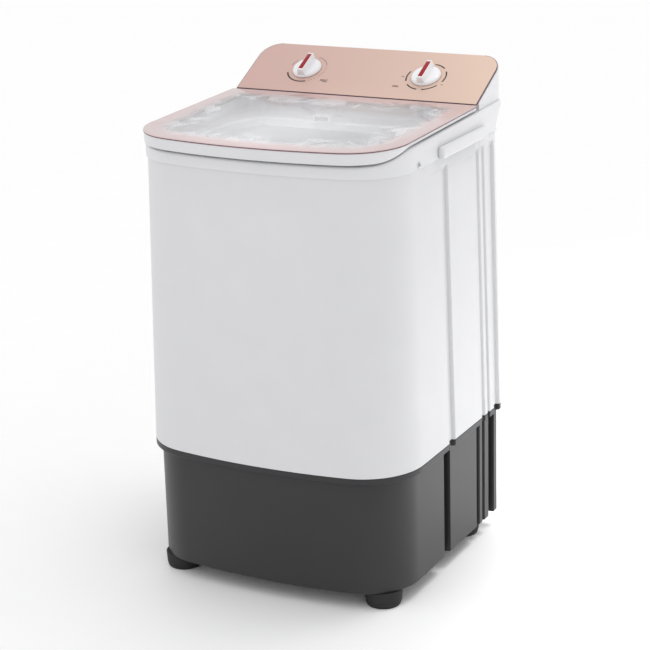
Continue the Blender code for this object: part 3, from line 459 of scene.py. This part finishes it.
def spreadPlan(spread):
    return {
        "half": casing["half"] + spread,
        "front": casing["depth"] + spread,
        "rear": casing["depth"],
        "corner": casing["corner"] + spread,
        "bow": casing["bow"],
        "rearCorner": casing["rearCorner"],
    }


def cabinetSkin():
    values = {"channelDrop": 0.014, "lap": 0.015}
    low = baseTop + gap
    channelTop = seam - values["channelDrop"]
    # each level: its height, the share of the channels' depth there, and how far it is drawn in
    levels = [(low, 1.0, 0.0006), (low + 0.0008, 1.0, 0.0)]
    fades = ((0.016, 1.0), (0.010, 0.93), (0.005, 0.65), (0.002, 0.28), (0.0, 0.0))
    levels += [(channelTop - drop, share, 0.0) for drop, share in fades] + [(seam + 0.010, 0.0, 0.0)]
    outer = []
    inner = []
    for z, share, inset in levels:
        plan = spreadPlan(casing["draft"] * max(0.0, (seam - z) / (seam - low)))
        cuts = [(y, width, depth * share) for y, width, depth, _ in casing["channels"]]
        outer.append(ring(planOutline(plan, inset, cuts), z))
        inner.append(ring(planOutline(plan, casing["wall"], cuts, casing["wall"]), z))
    skin = loft("cabinetSkin", outer + inner[::-1], finish["cabinetWhite"], closed=True)
    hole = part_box("rear_cover")
    lap = values["lap"]
    cutLow = (hole[0].x + lap, hole[0].y - 0.03, hole[0].z + lap)
    cutHigh = (hole[1].x - lap, hole[1].y + 0.01, hole[1].z - lap)
    carve(skin, [block("rearOpening", cutLow, cutHigh, finish["white"])])
    stand(skin, "machine", "white_plastic", "cabinet")


def baseSkin():
    values = {"inset": 0.0105, "rearInset": 0.003, "lip": 0.010, "step": 0.004}
    plan = spreadPlan(casing["draft"])
    low = dict(plan, rear=plan["rear"] + values["inset"] - values["rearInset"])
    lipLow = baseTop - values["lip"]

    def cuts(share):
        return [(y, width, cabinetDepth + (depth - cabinetDepth) * share)
                for y, width, cabinetDepth, depth in casing["channels"]]

    inset = values["inset"]
    wall = casing["wall"]
    step = values["step"]
    rings = [
        ring(planOutline(low, inset + 0.0020, cuts(1.0)), baseBottom),
        ring(planOutline(low, inset + 0.0006, cuts(1.0)), baseBottom + 0.0006),
        ring(planOutline(low, inset, cuts(1.0)), baseBottom + 0.0022),
        ring(planOutline(low, inset, cuts(1.0)), lipLow - step),
        ring(planOutline(low, inset - 0.0012, cuts(0.9)), lipLow - step + 0.0016),
        ring(planOutline(plan, 0.0012, cuts(0.1)), lipLow - 0.0006),
        ring(planOutline(plan, 0.0, cuts(0.0)), lipLow + 0.0008),
        ring(planOutline(plan, 0.0, cuts(0.0)), baseTop - 0.0008),
        ring(planOutline(plan, 0.0008, cuts(0.0)), baseTop),
        ring(planOutline(plan, wall, cuts(0.0), wall), baseTop),
        ring(planOutline(plan, wall, cuts(0.0), wall), lipLow + 0.001),
        ring(planOutline(low, inset + wall, cuts(1.0), wall), lipLow - step + 0.001),
        ring(planOutline(low, inset + wall, cuts(1.0), wall), baseBottom + 0.004),
    ]
    skin = loft("baseSkin", rings, finish["charcoal"])
    stand(skin, "machine", "charcoal_plastic", "base")


def feet():
    values = {"stem": 0.006, "edge": 0.0015}
    stem = values["stem"]
    edge = values["edge"]
    for name in ("foot_front_left", "foot_front_right", "foot_rear_left", "foot_rear_right"):
        low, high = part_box(name)
        centre = (low + high) / 2
        radius = (high.x - low.x) / 2
        top = baseBottom - gap
        profile = [(0, high.z), (stem, high.z), (stem, top), (radius - edge, top), (radius, top - edge),
                   (radius * 0.97, 0.010), (radius * 0.95, 0.0092), (radius * 0.94, 0.0080),
                   (radius * 0.955, 0.0072), (radius * 0.92, 0.003), (radius * 0.88, 0.0006),
                   (radius * 0.85, 0), (0, 0)]
        place = Matrix.Translation((centre.x, centre.y, 0))
        foot = turned(f"pad.{name}", profile, finish["rubber"], place=place)
        stand(foot, "machine", "rubber", name)


cabinetSkin()
baseSkin()
feet()
print("casing made")

# Lid and top frame

lidShape = {
    "sheet": 0.003,
    "rim": 0.005,
    "rimWidth": 0.024,
    "lip": 0.0125,
    "lipWall": 0.004,
    "lipFull": -0.190,
    "lipGone": -0.115,
    "slope": 0.026,
    "overhang": 0.013,
    "rear": 0.140,
    "seatGap": 0.0025,
}
lidPlan = {
    "half": casing["half"] - 0.0015,
    "front": casing["depth"] + lidShape["overhang"],
    "rear": lidShape["rear"],
    "corner": casing["corner"],
    "bow": casing["bow"],
    "rearCorner": 0.005,
}
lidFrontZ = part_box("lid_window")[1].z - lidShape["slope"] * (lidShape["rear"] + casing["depth"])
recessZ = tubHigh.z + 0.0028
hinge = {
    "postOffset": 0.0133,
    "postHalf": 0.0025,
    "postReach": 0.0033,
    "notchHalf": 0.0033,
    "notchFront": 0.005,
    "notchReach": 0.02,
    "bore": 0.0018,
    "radius": 0.0035,
    "half": 0.010,
    "chamfer": 0.0003,
}


def lidPlane(offset):
    return lambda x, y: lidFrontZ + lidShape["slope"] * (y + casing["depth"]) + offset


def lipShare(y):
    return 1 - smoothStep(lidShape["lipFull"], lidShape["lipGone"], y)


def frameSkin():
    values = {"wall": 0.0025, "ledge": 0.012, "extraDrop": 0.0015, "border": 0.026, "behindLid": 0.008,
              "opening": 0.180, "rearWeb": 0.038, "overhang": 0.047, "ledgeInset": 0.003, "ledgeFull": -0.095,
              "ledgeGone": -0.045, "flare": 0.014, "collarDrop": 0.014, "round": 0.003}
    skirt = -(gap + values["wall"])
    drop = lidShape["lip"] + values["extraDrop"]
    outer = spreadPlan(0.0)
    flared = dict(outer, rear=casing["depth"] + values["overhang"], rearCorner=0.044)
    under = -lidShape["sheet"] - lidShape["rim"] - lidShape["seatGap"]

    def deck(offset):
        return lidPlane(under + offset)

    def ledge(offset):
        return lambda x, y: deck(offset)(x, y) - drop * lipShare(y)

    def ledgeLine(inset):
        narrow = planOutline(flared, inset + values["ledgeInset"])
        wide = planOutline(flared, inset + values["ledgeInset"] + values["ledge"])
        line = []
        for near, far in zip(narrow, wide):
            share = 1 - smoothStep(values["ledgeFull"], values["ledgeGone"], near[1])
            line.append((near[0] + (far[0] - near[0]) * share, near[1] + (far[1] - near[1]) * share))
        return line

    recessPlan = {
        "half": casing["half"] - values["border"],
        "front": casing["depth"] - values["border"],
        "rear": lidShape["rear"] + values["behindLid"],
        "corner": casing["corner"] - 0.01,
        "bow": casing["bow"],
        "rearCorner": 0.012,
    }
    edge = planOutline(recessPlan)
    web = lidShape["rear"] - values["rearWeb"]
    wall = values["wall"]
    opening = clippedCircle(edge, values["opening"], web)
    collar = clippedCircle(edge, values["opening"] + wall, web + wall)
    soft = clippedCircle(edge, values["opening"] + values["round"], web + values["round"])
    rings = [
        ring(planOutline(outer, skirt + 0.0006), seam),
        ring(planOutline(outer, skirt), seam + 0.0008),
        ring(planOutline(outer, skirt), seam + values["flare"]),
        ring(planOutline(flared, skirt), ledge(-0.0045)),
        ring(planOutline(flared, skirt + 0.0004), ledge(-0.0022)),
        ring(planOutline(flared, skirt + 0.0014), ledge(-0.0007)),
        ring(planOutline(flared, skirt + 0.0026), ledge(-0.0001)),
        ring(ledgeLine(skirt), ledge(0.0)),
        ring(ledgeLine(skirt + 0.0008), lambda x, y: deck(0.0)(x, y) - 0.0010 * lipShare(y)),
        ring(ledgeLine(skirt + 0.0018), deck(0.0)),
        ring(planOutline(recessPlan, -0.0016), deck(0.0)),
        ring(planOutline(recessPlan, -0.0005), deck(-0.0005)),
        ring(edge, deck(-0.0018)),
        ring(edge, recessZ + 0.002),
        ring(planOutline(recessPlan, 0.002), recessZ),
        ring(soft, recessZ),
        ring(opening, recessZ - values["round"]),
        ring(opening, recessZ - values["collarDrop"]),
        ring(collar, recessZ - values["collarDrop"]),
        ring(collar, recessZ - wall - 0.001),
        ring(planOutline(recessPlan, -wall), recessZ - wall),
        ring(planOutline(recessPlan, -wall), deck(-wall)),
        ring(ledgeLine(skirt + wall + 0.0008), deck(-wall)),
        ring(ledgeLine(skirt + wall), ledge(-wall)),
        ring(planOutline(flared, skirt + wall), ledge(-wall - 0.0005)),
        ring(planOutline(outer, -gap), seam + values["flare"]),
        ring(planOutline(outer, -gap), seam),
    ]
    skin = loft("topFrameSkin", rings, finish["white"], closed=True)
    stand(skin, "machine", "white_plastic", "top_frame")
    hingeParts()
    hoods(casing["half"] + gap + wall)


def hingeParts():
    pins = [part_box(name) for name in ("hinge_pin_left", "hinge_pin_right")]
    for side, (low, high) in zip(("left", "right"), pins):
        centre = (low + high) / 2
        for end, sign in (("inner", -1), ("outer", 1)):
            x = centre.x + sign * hinge["postOffset"]
            reach = hinge["postReach"]
            postLow = (x - hinge["postHalf"], centre.y - reach, recessZ - 0.001)
            postHigh = (x + hinge["postHalf"], centre.y + reach, centre.z + reach)
            post = block(f"hingePost.{side}.{end}", postLow, postHigh, finish["white"], bevel=0.0012)
            stand(post, "machine", "white_plastic")


def hoods(face):
    values = {"front": -0.030, "rear": 0.150, "height": 0.020, "reach": 0.011, "wall": 0.0025, "sink": 0.0010}
    for side, sign in (("left", -1), ("right", 1)):
        near, far = sorted((sign * (face - values["sink"]), sign * (face + values["reach"])))
        low = (near, values["front"] + tubY, seam + 0.001)
        high = (far, values["rear"] + tubY, seam + values["height"])
        hood = block(f"hood.{side}", low, high, finish["white"], bevel=0.0048, segments=5)
        near, far = sorted((sign * (face + gap), sign * (face + values["reach"] - values["wall"])))
        low = (near, low[1] + values["wall"], seam - 0.01)
        high = (far, high[1] - values["wall"], high[2] - values["wall"])
        carve(hood, [block("hollow", low, high, finish["white"], bevel=0.001)])
        stand(hood, "machine", "white_plastic")


def lidRim():
    under = -lidShape["sheet"] - lidShape["rim"]
    edge = 0.0012

    def lip(offset):
        return lambda x, y: lidPlane(under + offset)(x, y) - lidShape["lip"] * lipShare(y)

    wall = lidShape["lipWall"]
    rings = [
        ring(planOutline(lidPlan, edge), lidPlane(-lidShape["sheet"])),
        ring(planOutline(lidPlan, edge + 0.0002), lip(0.0016)),
        ring(planOutline(lidPlan, edge + 0.0008), lip(0.0004)),
        ring(planOutline(lidPlan, edge + 0.0018), lip(0.0)),
        ring(planOutline(lidPlan, edge + wall - 0.0008), lip(0.0)),
        ring(planOutline(lidPlan, edge + wall), lip(0.0008)),
        ring(planOutline(lidPlan, edge + wall + 0.0008), lidPlane(under)),
        ring(planOutline(lidPlan, lidShape["rimWidth"] - 0.001), lidPlane(under)),
        ring(planOutline(lidPlan, lidShape["rimWidth"]), lidPlane(under + 0.001)),
        ring(planOutline(lidPlan, lidShape["rimWidth"]), lidPlane(-lidShape["sheet"])),
    ]
    rim = loft("lidRim", rings, finish["white"], closed=True)
    tools = []
    for name in ("hinge_pin_left", "hinge_pin_right"):
        low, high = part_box(name)
        centre = (low + high) / 2
        for sign in (-1, 1):
            x = centre.x + sign * hinge["postOffset"]
            reach = hinge["notchReach"]
            cutLow = (x - hinge["notchHalf"], centre.y - hinge["notchFront"], centre.z - reach)
            cutHigh = (x + hinge["notchHalf"], centre.y + reach, centre.z + reach)
            tools.append(block("notch", cutLow, cutHigh, finish["white"]))
    carve(rim, tools)
    stand(rim, "lid", "white_plastic", "lid_frame")
    for name in ("left", "right"):
        low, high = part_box(f"hinge_pin_{name}")
        centre = (low + high) / 2
        turn = Matrix.Translation(centre) @ Matrix.Rotation(pi / 2, 4, "Y")
        bore, outer, half, chamfer = (hinge[key] for key in ("bore", "radius", "half", "chamfer"))
        profile = [(bore, half), (outer - chamfer, half), (outer, half - chamfer), (outer, chamfer - half),
                   (outer - chamfer, -half), (bore, -half)]
        barrel = turned(f"hingeBarrel.{name}", profile, finish["white"], steps=32, closed=True, place=turn)
        stand(barrel, "lid", "white_plastic")


def lidSheet():
    insets = [0.0004, 0.0015, 0.006, 0.014, 0.022, 0.030, 0.038, 0.046, 0.055, 0.064, 0.075, 0.088]
    sheet = lidShape["sheet"]
    bm = bmesh.new()
    layer = bm.verts.layers.float.new("edgeDistance")
    rows = []

    def addRow(points, height, distance):
        row = []
        for point in ring(points, height):
            vert = bm.verts.new(point)
            vert[layer] = distance
            row.append(vert)
        rows.append(row)

    addRow(planOutline(lidPlan, insets[-1]), lidPlane(-sheet + gap), 0.120)
    addRow(planOutline(lidPlan, 0.030), lidPlane(-sheet + gap), 0.030)
    addRow(planOutline(lidPlan, 0.0006), lidPlane(-sheet + gap), 0.0)
    addRow(planOutline(lidPlan, 0.0), lidPlane(-sheet + gap + 0.0006), 0.0)
    addRow(planOutline(lidPlan, 0.0), lidPlane(-0.0007), 0.0)
    for inset in insets:
        offset = -0.0002 if inset < 0.001 else 0.0
        addRow(planOutline(lidPlan, inset), lidPlane(offset), inset)
    count = len(rows[0])
    for low, high in zip(rows, rows[1:]):
        for i in range(count):
            j = (i + 1) % count
            bm.faces.new((low[i], low[j], high[j], high[i]))
    for row in (rows[0], rows[-1]):
        middle = sum((vert.co for vert in row), Vector()) / count
        hub = bm.verts.new(middle)
        hub[layer] = 0.150
        for i in range(count):
            bm.faces.new((row[i], row[(i + 1) % count], hub))
    made = meshObject("lidSheet", bm, lidSheetMaterial())
    # the upright edge all round gets the dark outline, painted shade
    made.data.materials.append(finish["darkEdge"])
    for face in made.data.polygons:
        if abs(face.normal.z) < 0.5:  # the upright edge all round
            face.material_index = 1
    shade(made.data)
    stand(made, "lid", "clear_sheet", "lid_window")


frameSkin()
lidRim()
lidSheet()
print("top frame and lid made")

# Console

panel = {
    "tilt": radians(27),
    "frontGap": 0.004,
    "thickness": 0.0025,
    "corner": 0.036,
    "rear": casing["depth"] + 0.047,
    "half": casing["half"] - 0.004,
    "knobSlope": 0.063,
    "inkLow": 0.00004,
    "inkHigh": 0.00010,
}
panelFront = lidShape["rear"] + panel["frontGap"]


def panelHeight(offset=0.0):
    low = lidPlane(0.0)(0, panelFront) + offset / cos(panel["tilt"]) - panel["thickness"]
    return lambda x, y: low + tan(panel["tilt"]) * (y - panelFront)


def consoleOutline(inset, front):
    small = panel["corner"] - inset
    half = panel["half"] - inset
    rear = panel["rear"] - inset
    right = [(half, front), (half, front + 0.002)]
    right += [(half, front + 0.002 + (rear - small - front - 0.002) * i / 6) for i in range(1, 6)]
    right += arcPoints(half - small, rear - small, small, 0, pi / 2, 16)
    return right + [(-x, y) for x, y in reversed(right)]


def panelPlace(x, lift):
    # local Z is the panel's outward normal, and local Y runs up the slope
    y = panelFront + panel["knobSlope"] * cos(panel["tilt"])
    z = panelHeight(panel["thickness"])(x, y)
    spot = Vector((x, y + tubY - lift * sin(panel["tilt"]), z + lift * cos(panel["tilt"])))
    return Matrix.Translation(spot) @ Matrix.Rotation(panel["tilt"], 4, "X")


def housing():
    front = lidShape["rear"] + 0.010
    foot = lidPlane(-lidShape["sheet"] - lidShape["rim"] - lidShape["seatGap"] + gap)
    wall = 0.0025
    rings = [
        ring(consoleOutline(wall, front + wall), panelHeight(-wall - gap)),
        ring(consoleOutline(wall, front + wall), foot),
        ring(consoleOutline(0.0, front), foot),
        ring(consoleOutline(0.0, front), panelHeight(-0.0022)),
        ring(consoleOutline(0.0005, front + 0.0005), panelHeight(-0.0008)),
        ring(consoleOutline(0.0018, front + 0.0018), panelHeight(-gap)),
    ]
    skin = loft("consoleSkin", rings, finish["white"])
    stand(skin, "machine", "white_plastic", "console_housing")


def fasciaPlate():
    edge = 0.002
    edgeFaceArea = 0.00004  # the narrow faces of the rounded rim are smaller than this
    thick = panel["thickness"]
    rings = [
        ring(consoleOutline(edge, panelFront), panelHeight(0.0)),
        ring(consoleOutline(edge, panelFront), panelHeight(thick - 0.0005)),
        ring(consoleOutline(edge + 0.0005, panelFront + 0.0005), panelHeight(thick)),
        ring(consoleOutline(edge + 0.0013, panelFront + 0.0013), panelHeight(thick)),
    ]
    plate = loft("fasciaPlate", rings, finish["fascia"])
    # the rim and sides get the dark outline, painted shade
    plate.data.materials.append(finish["darkEdge"])
    for face in plate.data.polygons:
        if face.normal.z < 0.8 or face.area < edgeFaceArea:
            face.material_index = 1
    stand(plate, "machine", "rose_fascia", "console_fascia")


def arcBand(name, x, radius, width, start, end):
    # a printed band, a hair above the film; its angles run clockwise from the top
    steps = max(4, int(abs(end - start) / 4))
    place = panelPlace(x, 0)
    rings = []
    for i in range(steps + 1):
        angle = radians(90 - (start + (end - start) * i / steps))
        near, far = radius - width / 2, radius + width / 2
        low, high = panel["inkLow"], panel["inkHigh"]
        corners = ((near, low), (far, low), (far, high), (near, high))
        rings.append([place @ Vector((r * cos(angle), r * sin(angle), z)) for r, z in corners])
    stand(loft(name, rings, finish["print"]), "machine", "rose_fascia")


def bar(name, x, low, high):
    place = panelPlace(x, 0)
    made = block(name, (*low, panel["inkLow"]), (*high, panel["inkHigh"]), finish["print"])
    made.data.transform(place)
    stand(made, "machine", "rose_fascia")


def dial(name, x):
    values = {"radius": 0.0256, "lift": 0.0008, "skirt": 0.006, "grip": 0.0140, "gripTaper": 0.70,
              "height": 0.016, "insert": 0.0075, "end": 0.0035, "bore": 0.0033, "boreDepth": 0.004}
    place = panelPlace(x, values["lift"])
    radius = values["radius"]
    bore = values["bore"]
    skirt = values["skirt"]
    profile = [(0, skirt + 0.0002), (radius * 0.55, skirt + 0.0002), (radius * 0.80, skirt - 0.0002),
               (radius * 0.88, skirt - 0.0008), (radius * 0.945, skirt - 0.0022), (radius * 0.985, 0.0018),
               (radius, 0.0008), (radius * 0.995, 0), (bore, 0), (bore, values["boreDepth"]),
               (0, values["boreDepth"])]
    body = turned(f"{name}Dial", profile, finish["knob"], steps=96, place=place)
    long = radius * 0.93
    half = values["grip"] / 2
    grip = block("grip", (-half, -long, skirt - 0.002), (half, long, values["height"]), finish["knob"],
                 bevel=0.0009, taper=values["gripTaper"])
    grip.data.transform(place)
    half = values["insert"] / 2
    reach = long - values["end"]
    slot = block("slot", (-half - gap, -reach - gap, values["height"] - 0.0018),
                 (half + gap, reach + gap, values["height"] + 0.01), finish["knob"])
    slot.data.transform(place)
    carve(body, [grip], "UNION")
    carve(body, [slot])
    stand(body, name, "white_plastic", f"{name}_knob")
    insert = block(f"{name}DialInsert", (-half, -reach, values["height"] - 0.0015),
                   (half, reach, values["height"] + 0.0004), finish["red"], bevel=0.0006)
    insert.data.transform(place)
    stand(insert, name, "red_plastic", f"{name}_knob_insert")


def dialCentre(name):
    low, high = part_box(f"{name}_knob")
    return (low.x + high.x) / 2


def prints():
    values = {
        "radius": 0.0345,
        "timerBands": ((162, 249, 0.0027), (14, 67, 0.0007), (284, 309, 0.0007)),
        "selectorBands": ((6, 44, 0.0024), (60, 108, 0.0024), (127, 173, 0.0024), (187, 228, 0.0024),
                          (245, 290, 0.0024)),
        "timerTicks": (10, 76, 152),
        "tickSize": (0.0022, 0.0008),
        "noteHalf": 0.0006,
        "notes": (("timer", 0.037, 0.052, -0.0265), ("timer", 0.037, 0.049, -0.0290),
                  ("timer", 0.043, 0.052, -0.0315), ("selector", -0.050, -0.040, -0.0290),
                  ("selector", -0.050, -0.038, -0.0315),
                  ("selector", -0.0440, -0.0385, -0.0030), ("selector", 0.0335, 0.0375, -0.0185)),
    }
    for name in ("timer", "selector"):
        for i, (start, end, width) in enumerate(values[f"{name}Bands"]):
            arcBand(f"{name}Band.{i}", dialCentre(name), values["radius"], width, start, end)
    for i, (name, left, right, up) in enumerate(values["notes"]):
        bar(f"note.{i}", dialCentre(name), (left, up - values["noteHalf"]), (right, up + values["noteHalf"]))
    count, start, end = values["timerTicks"]
    step = radians((start - end) / (count - 1))
    marks = grow("timerTicks", arcTree, {
        "Count": count, "Radius": values["radius"], "Height": (panel["inkLow"] + panel["inkHigh"]) / 2,
        "Start": radians(90 - start), "Step": step,
        "Size": (*values["tickSize"], panel["inkHigh"] - panel["inkLow"]), "Finish": finish["print"]})
    marks.data.transform(panelPlace(dialCentre("timer"), 0))
    stand(marks, "machine", "rose_fascia")


housing()
fasciaPlate()
dial("timer", dialCentre("timer"))
dial("selector", dialCentre("selector"))
prints()
print("console made")

# Tub

tub = {
    "rimWidth": 0.006,
    "draft": 0.010,
    "wall": 0.0025,
    "bore": 0.014,
}


def tubSkin():
    low, high = tubLow, tubHigh
    rim = (high.x - low.x) / 2
    radius = rim - tub["rimWidth"]
    foot = radius - tub["draft"]
    wall = tub["wall"]
    floor = low.z + wall
    profile = [
        (rim, high.z - 0.0004), (rim, high.z - wall + 0.0004), (rim - 0.0004, high.z - wall),
        (radius, high.z - wall - 0.002), (foot, low.z + 0.020), (foot - 0.006, low.z + 0.006),
        (foot - 0.018, low.z), (tub["bore"], low.z), (tub["bore"], floor), (foot - 0.019, floor),
        (foot - wall - 0.005, floor + 0.006), (foot - wall, floor + 0.019), (radius - wall, high.z - 0.004),
        (radius - wall + 0.0012, high.z - 0.0008), (radius - wall + 0.0024, high.z),
    ]
    skin = turned("tubSkin", profile, finish["brightenedTubWhite"], steps=128, closed=True,
                  place=Matrix.Translation((0, tubY, 0)))
    stand(skin, "machine", "tub_plastic", "wash_tub")


def filterSkin():
    values = {
        "middle": 131, "halfTurn": 34, "standOff": 0.014, "thickness": 0.003, "topDrop": 0.022,
        "bars": 27, "barWidth": 0.0022, "barDepth": 0.0024, "barLap": 0.002,
        "edge": 0.011, "windowShare": 0.84, "endShare": 0.93, "wallGap": 0.0012,
    }
    low, high = (corner.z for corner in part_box("lint_filter"))
    lean = tub["draft"] * (tubHigh.z - low) / (tubHigh.z - tubLow.z - tub["wall"])
    wall = (tubHigh.x - tubLow.x) / 2 - tub["rimWidth"] - tub["wall"] - lean - values["wallGap"]
    face = wall - values["standOff"]
    stations = 56
    windowStations = 32
    windowShare = values["windowShare"]
    rings = []
    for i in range(stations + 1):
        share = 2 * i / stations - 1
        angle = radians(values["middle"] + values["halfTurn"] * share)
        top = high - values["topDrop"] * share * share
        back = wall if abs(share) > values["endShare"] else face + values["thickness"]
        corners = ((face, low), (back, low), (back, top), (face, top))
        rings.append([(r * cos(angle), r * sin(angle) + tubY, z) for r, z in corners])
    cover = loft("filterCover", rings, finish["filter"])
    window = []
    for i in range(windowStations + 1):
        share = (2 * i / windowStations - 1) * windowShare
        angle = radians(values["middle"] + values["halfTurn"] * share)
        top = high - values["topDrop"] * share * share - values["edge"]
        near, far, bottom = face - 0.006, face + 0.008, low + values["edge"]
        corners = ((near, bottom), (far, bottom), (far, top), (near, top))
        window.append([(r * cos(angle), r * sin(angle) + tubY, z) for r, z in corners])
    carve(cover, [loft("window", window, finish["filter"])])
    stand(cover, "filter", "grey_plastic", "lint_filter")
    reach = radians(values["halfTurn"] * windowShare)
    barLow = low + values["edge"] - values["barLap"]
    barHigh = high - values["topDrop"] * windowShare ** 2 - values["edge"] + 2 * values["barLap"]
    count = values["bars"]
    bars = grow("filterBars", arcTree, {
        "Count": count, "Radius": face + values["thickness"] / 2, "Height": (barLow + barHigh) / 2,
        "Start": radians(values["middle"]) - reach + reach / count, "Step": 2 * reach / count,
        "Size": (values["barDepth"], values["barWidth"], barHigh - barLow), "Finish": finish["filter"]})
    bars.data.transform(Matrix.Translation((0, tubY, 0)))
    stand(bars, "filter", "grey_plastic")


def pulsatorSkin():
    values = {"radius": 0.130, "bore": 0.0021, "shaftBore": 0.0063, "vanes": 3, "vaneWidth": 0.010,
              "vaneTop": 0.0301, "firstVane": 30}
    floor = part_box("pulsator")[0].z - 0.003
    crown = floor + 0.024
    radius = values["radius"]
    bore = values["bore"]
    shaftBore = values["shaftBore"]
    profile = [(bore, crown), (0.012, crown - 0.0001), (0.030, crown - 0.002), (0.060, floor + 0.0172),
               (0.085, floor + 0.0125), (radius * 0.8, floor + 0.009), (radius * 0.95, floor + 0.0068),
               (radius - 0.0006, floor + 0.0058), (radius, floor + 0.0052), (radius, floor + 0.003),
               (shaftBore, floor + 0.003), (shaftBore, floor + 0.016), (bore, floor + 0.016)]
    centre = Matrix.Translation((0, tubY, 0))
    disc = turned("pulsatorDisc", profile, finish["brightenedTubWhite"], steps=96, closed=True, place=centre)
    vanes = []
    half = values["vaneWidth"] / 2
    for i in range(values["vanes"]):
        vane = block("vane", (0.02, -half, floor + 0.005), (radius * 0.92, half, floor + values["vaneTop"]),
                     finish["brightenedTubWhite"], bevel=0.0042, segments=5)
        angle = radians(360 / values["vanes"] * i + values["firstVane"])
        vane.data.transform(centre @ Matrix.Rotation(angle, 4, "Z"))
        vanes.append(vane)
    for vane in vanes:
        carve(disc, [vane], "UNION")
    stand(disc, "wash_plate", "tub_plastic", "pulsator")


def screws():
    values = {"head": 0.0045, "shank": 0.0018, "rise": 0.0018, "recess": 0.0011, "slotHalf": 0.00045}
    head = values["head"]
    rise = values["rise"]
    slotHalf = values["slotHalf"]
    profile = [(0, rise), (head * 0.45, rise - 0.0001), (head * 0.75, rise * 0.75), (head * 0.94, rise * 0.4),
               (head, 0), (values["shank"], 0), (values["shank"], -0.008), (0, -0.010)]
    shape = turned("screwShape", profile, finish["steel"], steps=32)
    cross = values["recess"]
    tools = []
    for wide, deep in ((head * 0.5, slotHalf), (slotHalf, head * 0.5)):
        corner = (wide, deep, rise + 0.001)
        tools.append(block("cross", (-wide, -deep, rise - cross), corner, finish["steel"]))
    for tool in tools:
        carve(shape, [tool])
    turns = {"rear": (-pi / 2, 0, 0), "left": (0, -pi / 2, 0), "right": (0, pi / 2, 0), "up": (0, 0, 0)}
    rear = ["rear_cover_screw_left_low", "rear_cover_screw_left_high", "rear_cover_screw_right_low",
            "rear_cover_screw_right_high"]
    points = []
    sides = [("side_screw_left", "left"), ("side_screw_right", "right")]
    for name, side in [(name, "rear") for name in rear] + sides:
        low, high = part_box(name)
        spot = (low + high) / 2
        if side == "rear":
            spot.y = high.y - rise
        else:
            spot.x = high.x - rise if side == "right" else low.x + rise
        points.append((spot, turns[side]))
    given = {"Screw": shape, "Finish": finish["steel"]}
    caseScrews = grow("caseScrews", screwTree, given, points)
    stand(caseScrews, "machine", "steel", *rear, "side_screw_left", "side_screw_right")
    low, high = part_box("pulsator_screw")
    spot = (low + high) / 2
    spot.z = high.z - rise
    plateScrew = grow("plateScrew", screwTree, given, [(spot, turns["up"])])
    stand(plateScrew, "wash_plate", "steel", "pulsator_screw")
    bpy.data.objects.remove(shape)


tubSkin()
filterSkin()
pulsatorSkin()
screws()
print("tub, filter, wash plate and screws made")

# Finishes of the CAD nodes that stay

slotFinish = {
    "white_plastic": "white",
    "tub_plastic": "brightenedTubWhite",
    "charcoal_plastic": "charcoal",
    "grey_plastic": "grey",
    "rubber": "rubber",
    "steel": "steel",
    "cast_metal": "aluminium",
    "bronze": "bronze",
    "clear_sheet": "white",
    "rose_fascia": "fascia",
    "red_plastic": "red",
}
for entry in frame["record"]["subparts"]:
    node = frame["nodes"][entry["node"]]
    node.data.materials.clear()
    node.data.materials.append(finish[slotFinish[entry["material_slot"]]])
    shade(node.data)

# Studio

studio = {
    "azimuth": 27.80,
    "elevation": 17.55,
    "roll": -1.60,
    "distance": 3.3386,
    "focal": 1989.8,
    "target": (-0.0028, 0.0, 0.3937),
    "imageWidth": 650,
    "sensor": 36,
    "floorHalf": 12.0,
    # each light: its name, place, aim, size, power and spread in degrees
    "lights": (
        ("key", (-1.6, -2.2, 2.6), (0, 0, 0.5), (1.6, 1.6), 3, 180),
        ("floorRight", (0.95, 0.75, 2.0), (0.95, 0.75, 0), (0.9, 0.9), 9, 70),
        ("overTub", (0.0, -0.40, 2.3), (0.0, -0.08, 0.72), (0.15, 0.15), 0.16, 13),
    ),
}


def addCamera():
    azimuth, elevation, roll = (radians(studio[key]) for key in ("azimuth", "elevation", "roll"))
    back = Vector((sin(azimuth) * cos(elevation), -cos(azimuth) * cos(elevation), sin(elevation)))
    right = Vector((cos(azimuth), sin(azimuth), 0))
    up = right.cross(-back)
    turnedRight = right * cos(roll) + up * sin(roll)
    turnedUp = up * cos(roll) - right * sin(roll)
    camera = bpy.data.objects.new("camera", bpy.data.cameras.new("camera"))
    bpy.context.scene.collection.objects.link(camera)
    matrix = Matrix((turnedRight, turnedUp, back)).transposed().to_4x4()
    matrix.translation = Vector(studio["target"]) + back * studio["distance"]
    camera.matrix_world = matrix
    camera.data.sensor_width = studio["sensor"]
    camera.data.lens = studio["focal"] / studio["imageWidth"] * studio["sensor"]
    bpy.context.scene.camera = camera


def addLight(name, spot, aim, size, power, spread):
    light = bpy.data.lights.new(name, "AREA")
    light.shape = "RECTANGLE"
    light.size, light.size_y = size
    light.energy = power
    light.spread = radians(spread)
    made = bpy.data.objects.new(name, light)
    made.location = spot
    made.rotation_euler = (Vector(aim) - Vector(spot)).to_track_quat("-Z", "Y").to_euler()
    bpy.context.scene.collection.objects.link(made)


def addStudio():
    bm = bmesh.new()
    bmesh.ops.create_grid(bm, x_segments=1, y_segments=1, size=studio["floorHalf"])
    floor = meshObject("floor", bm, surface("mattWhiteFloor", "FFFFFF", "FDFDFD", 0.6, bump=0.02))
    world = bpy.data.worlds.new("studio")
    world.use_nodes = True
    background = world.node_tree.nodes["Background"]
    background.inputs["Color"].default_value = (1, 1, 1, 1)
    background.inputs["Strength"].default_value = 1.0
    bpy.context.scene.world = world
    for light in studio["lights"]:
        addLight(*light)
    bpy.context.scene.view_settings.view_transform = "Standard"


addStudio()
addCamera()

print("studio ready")
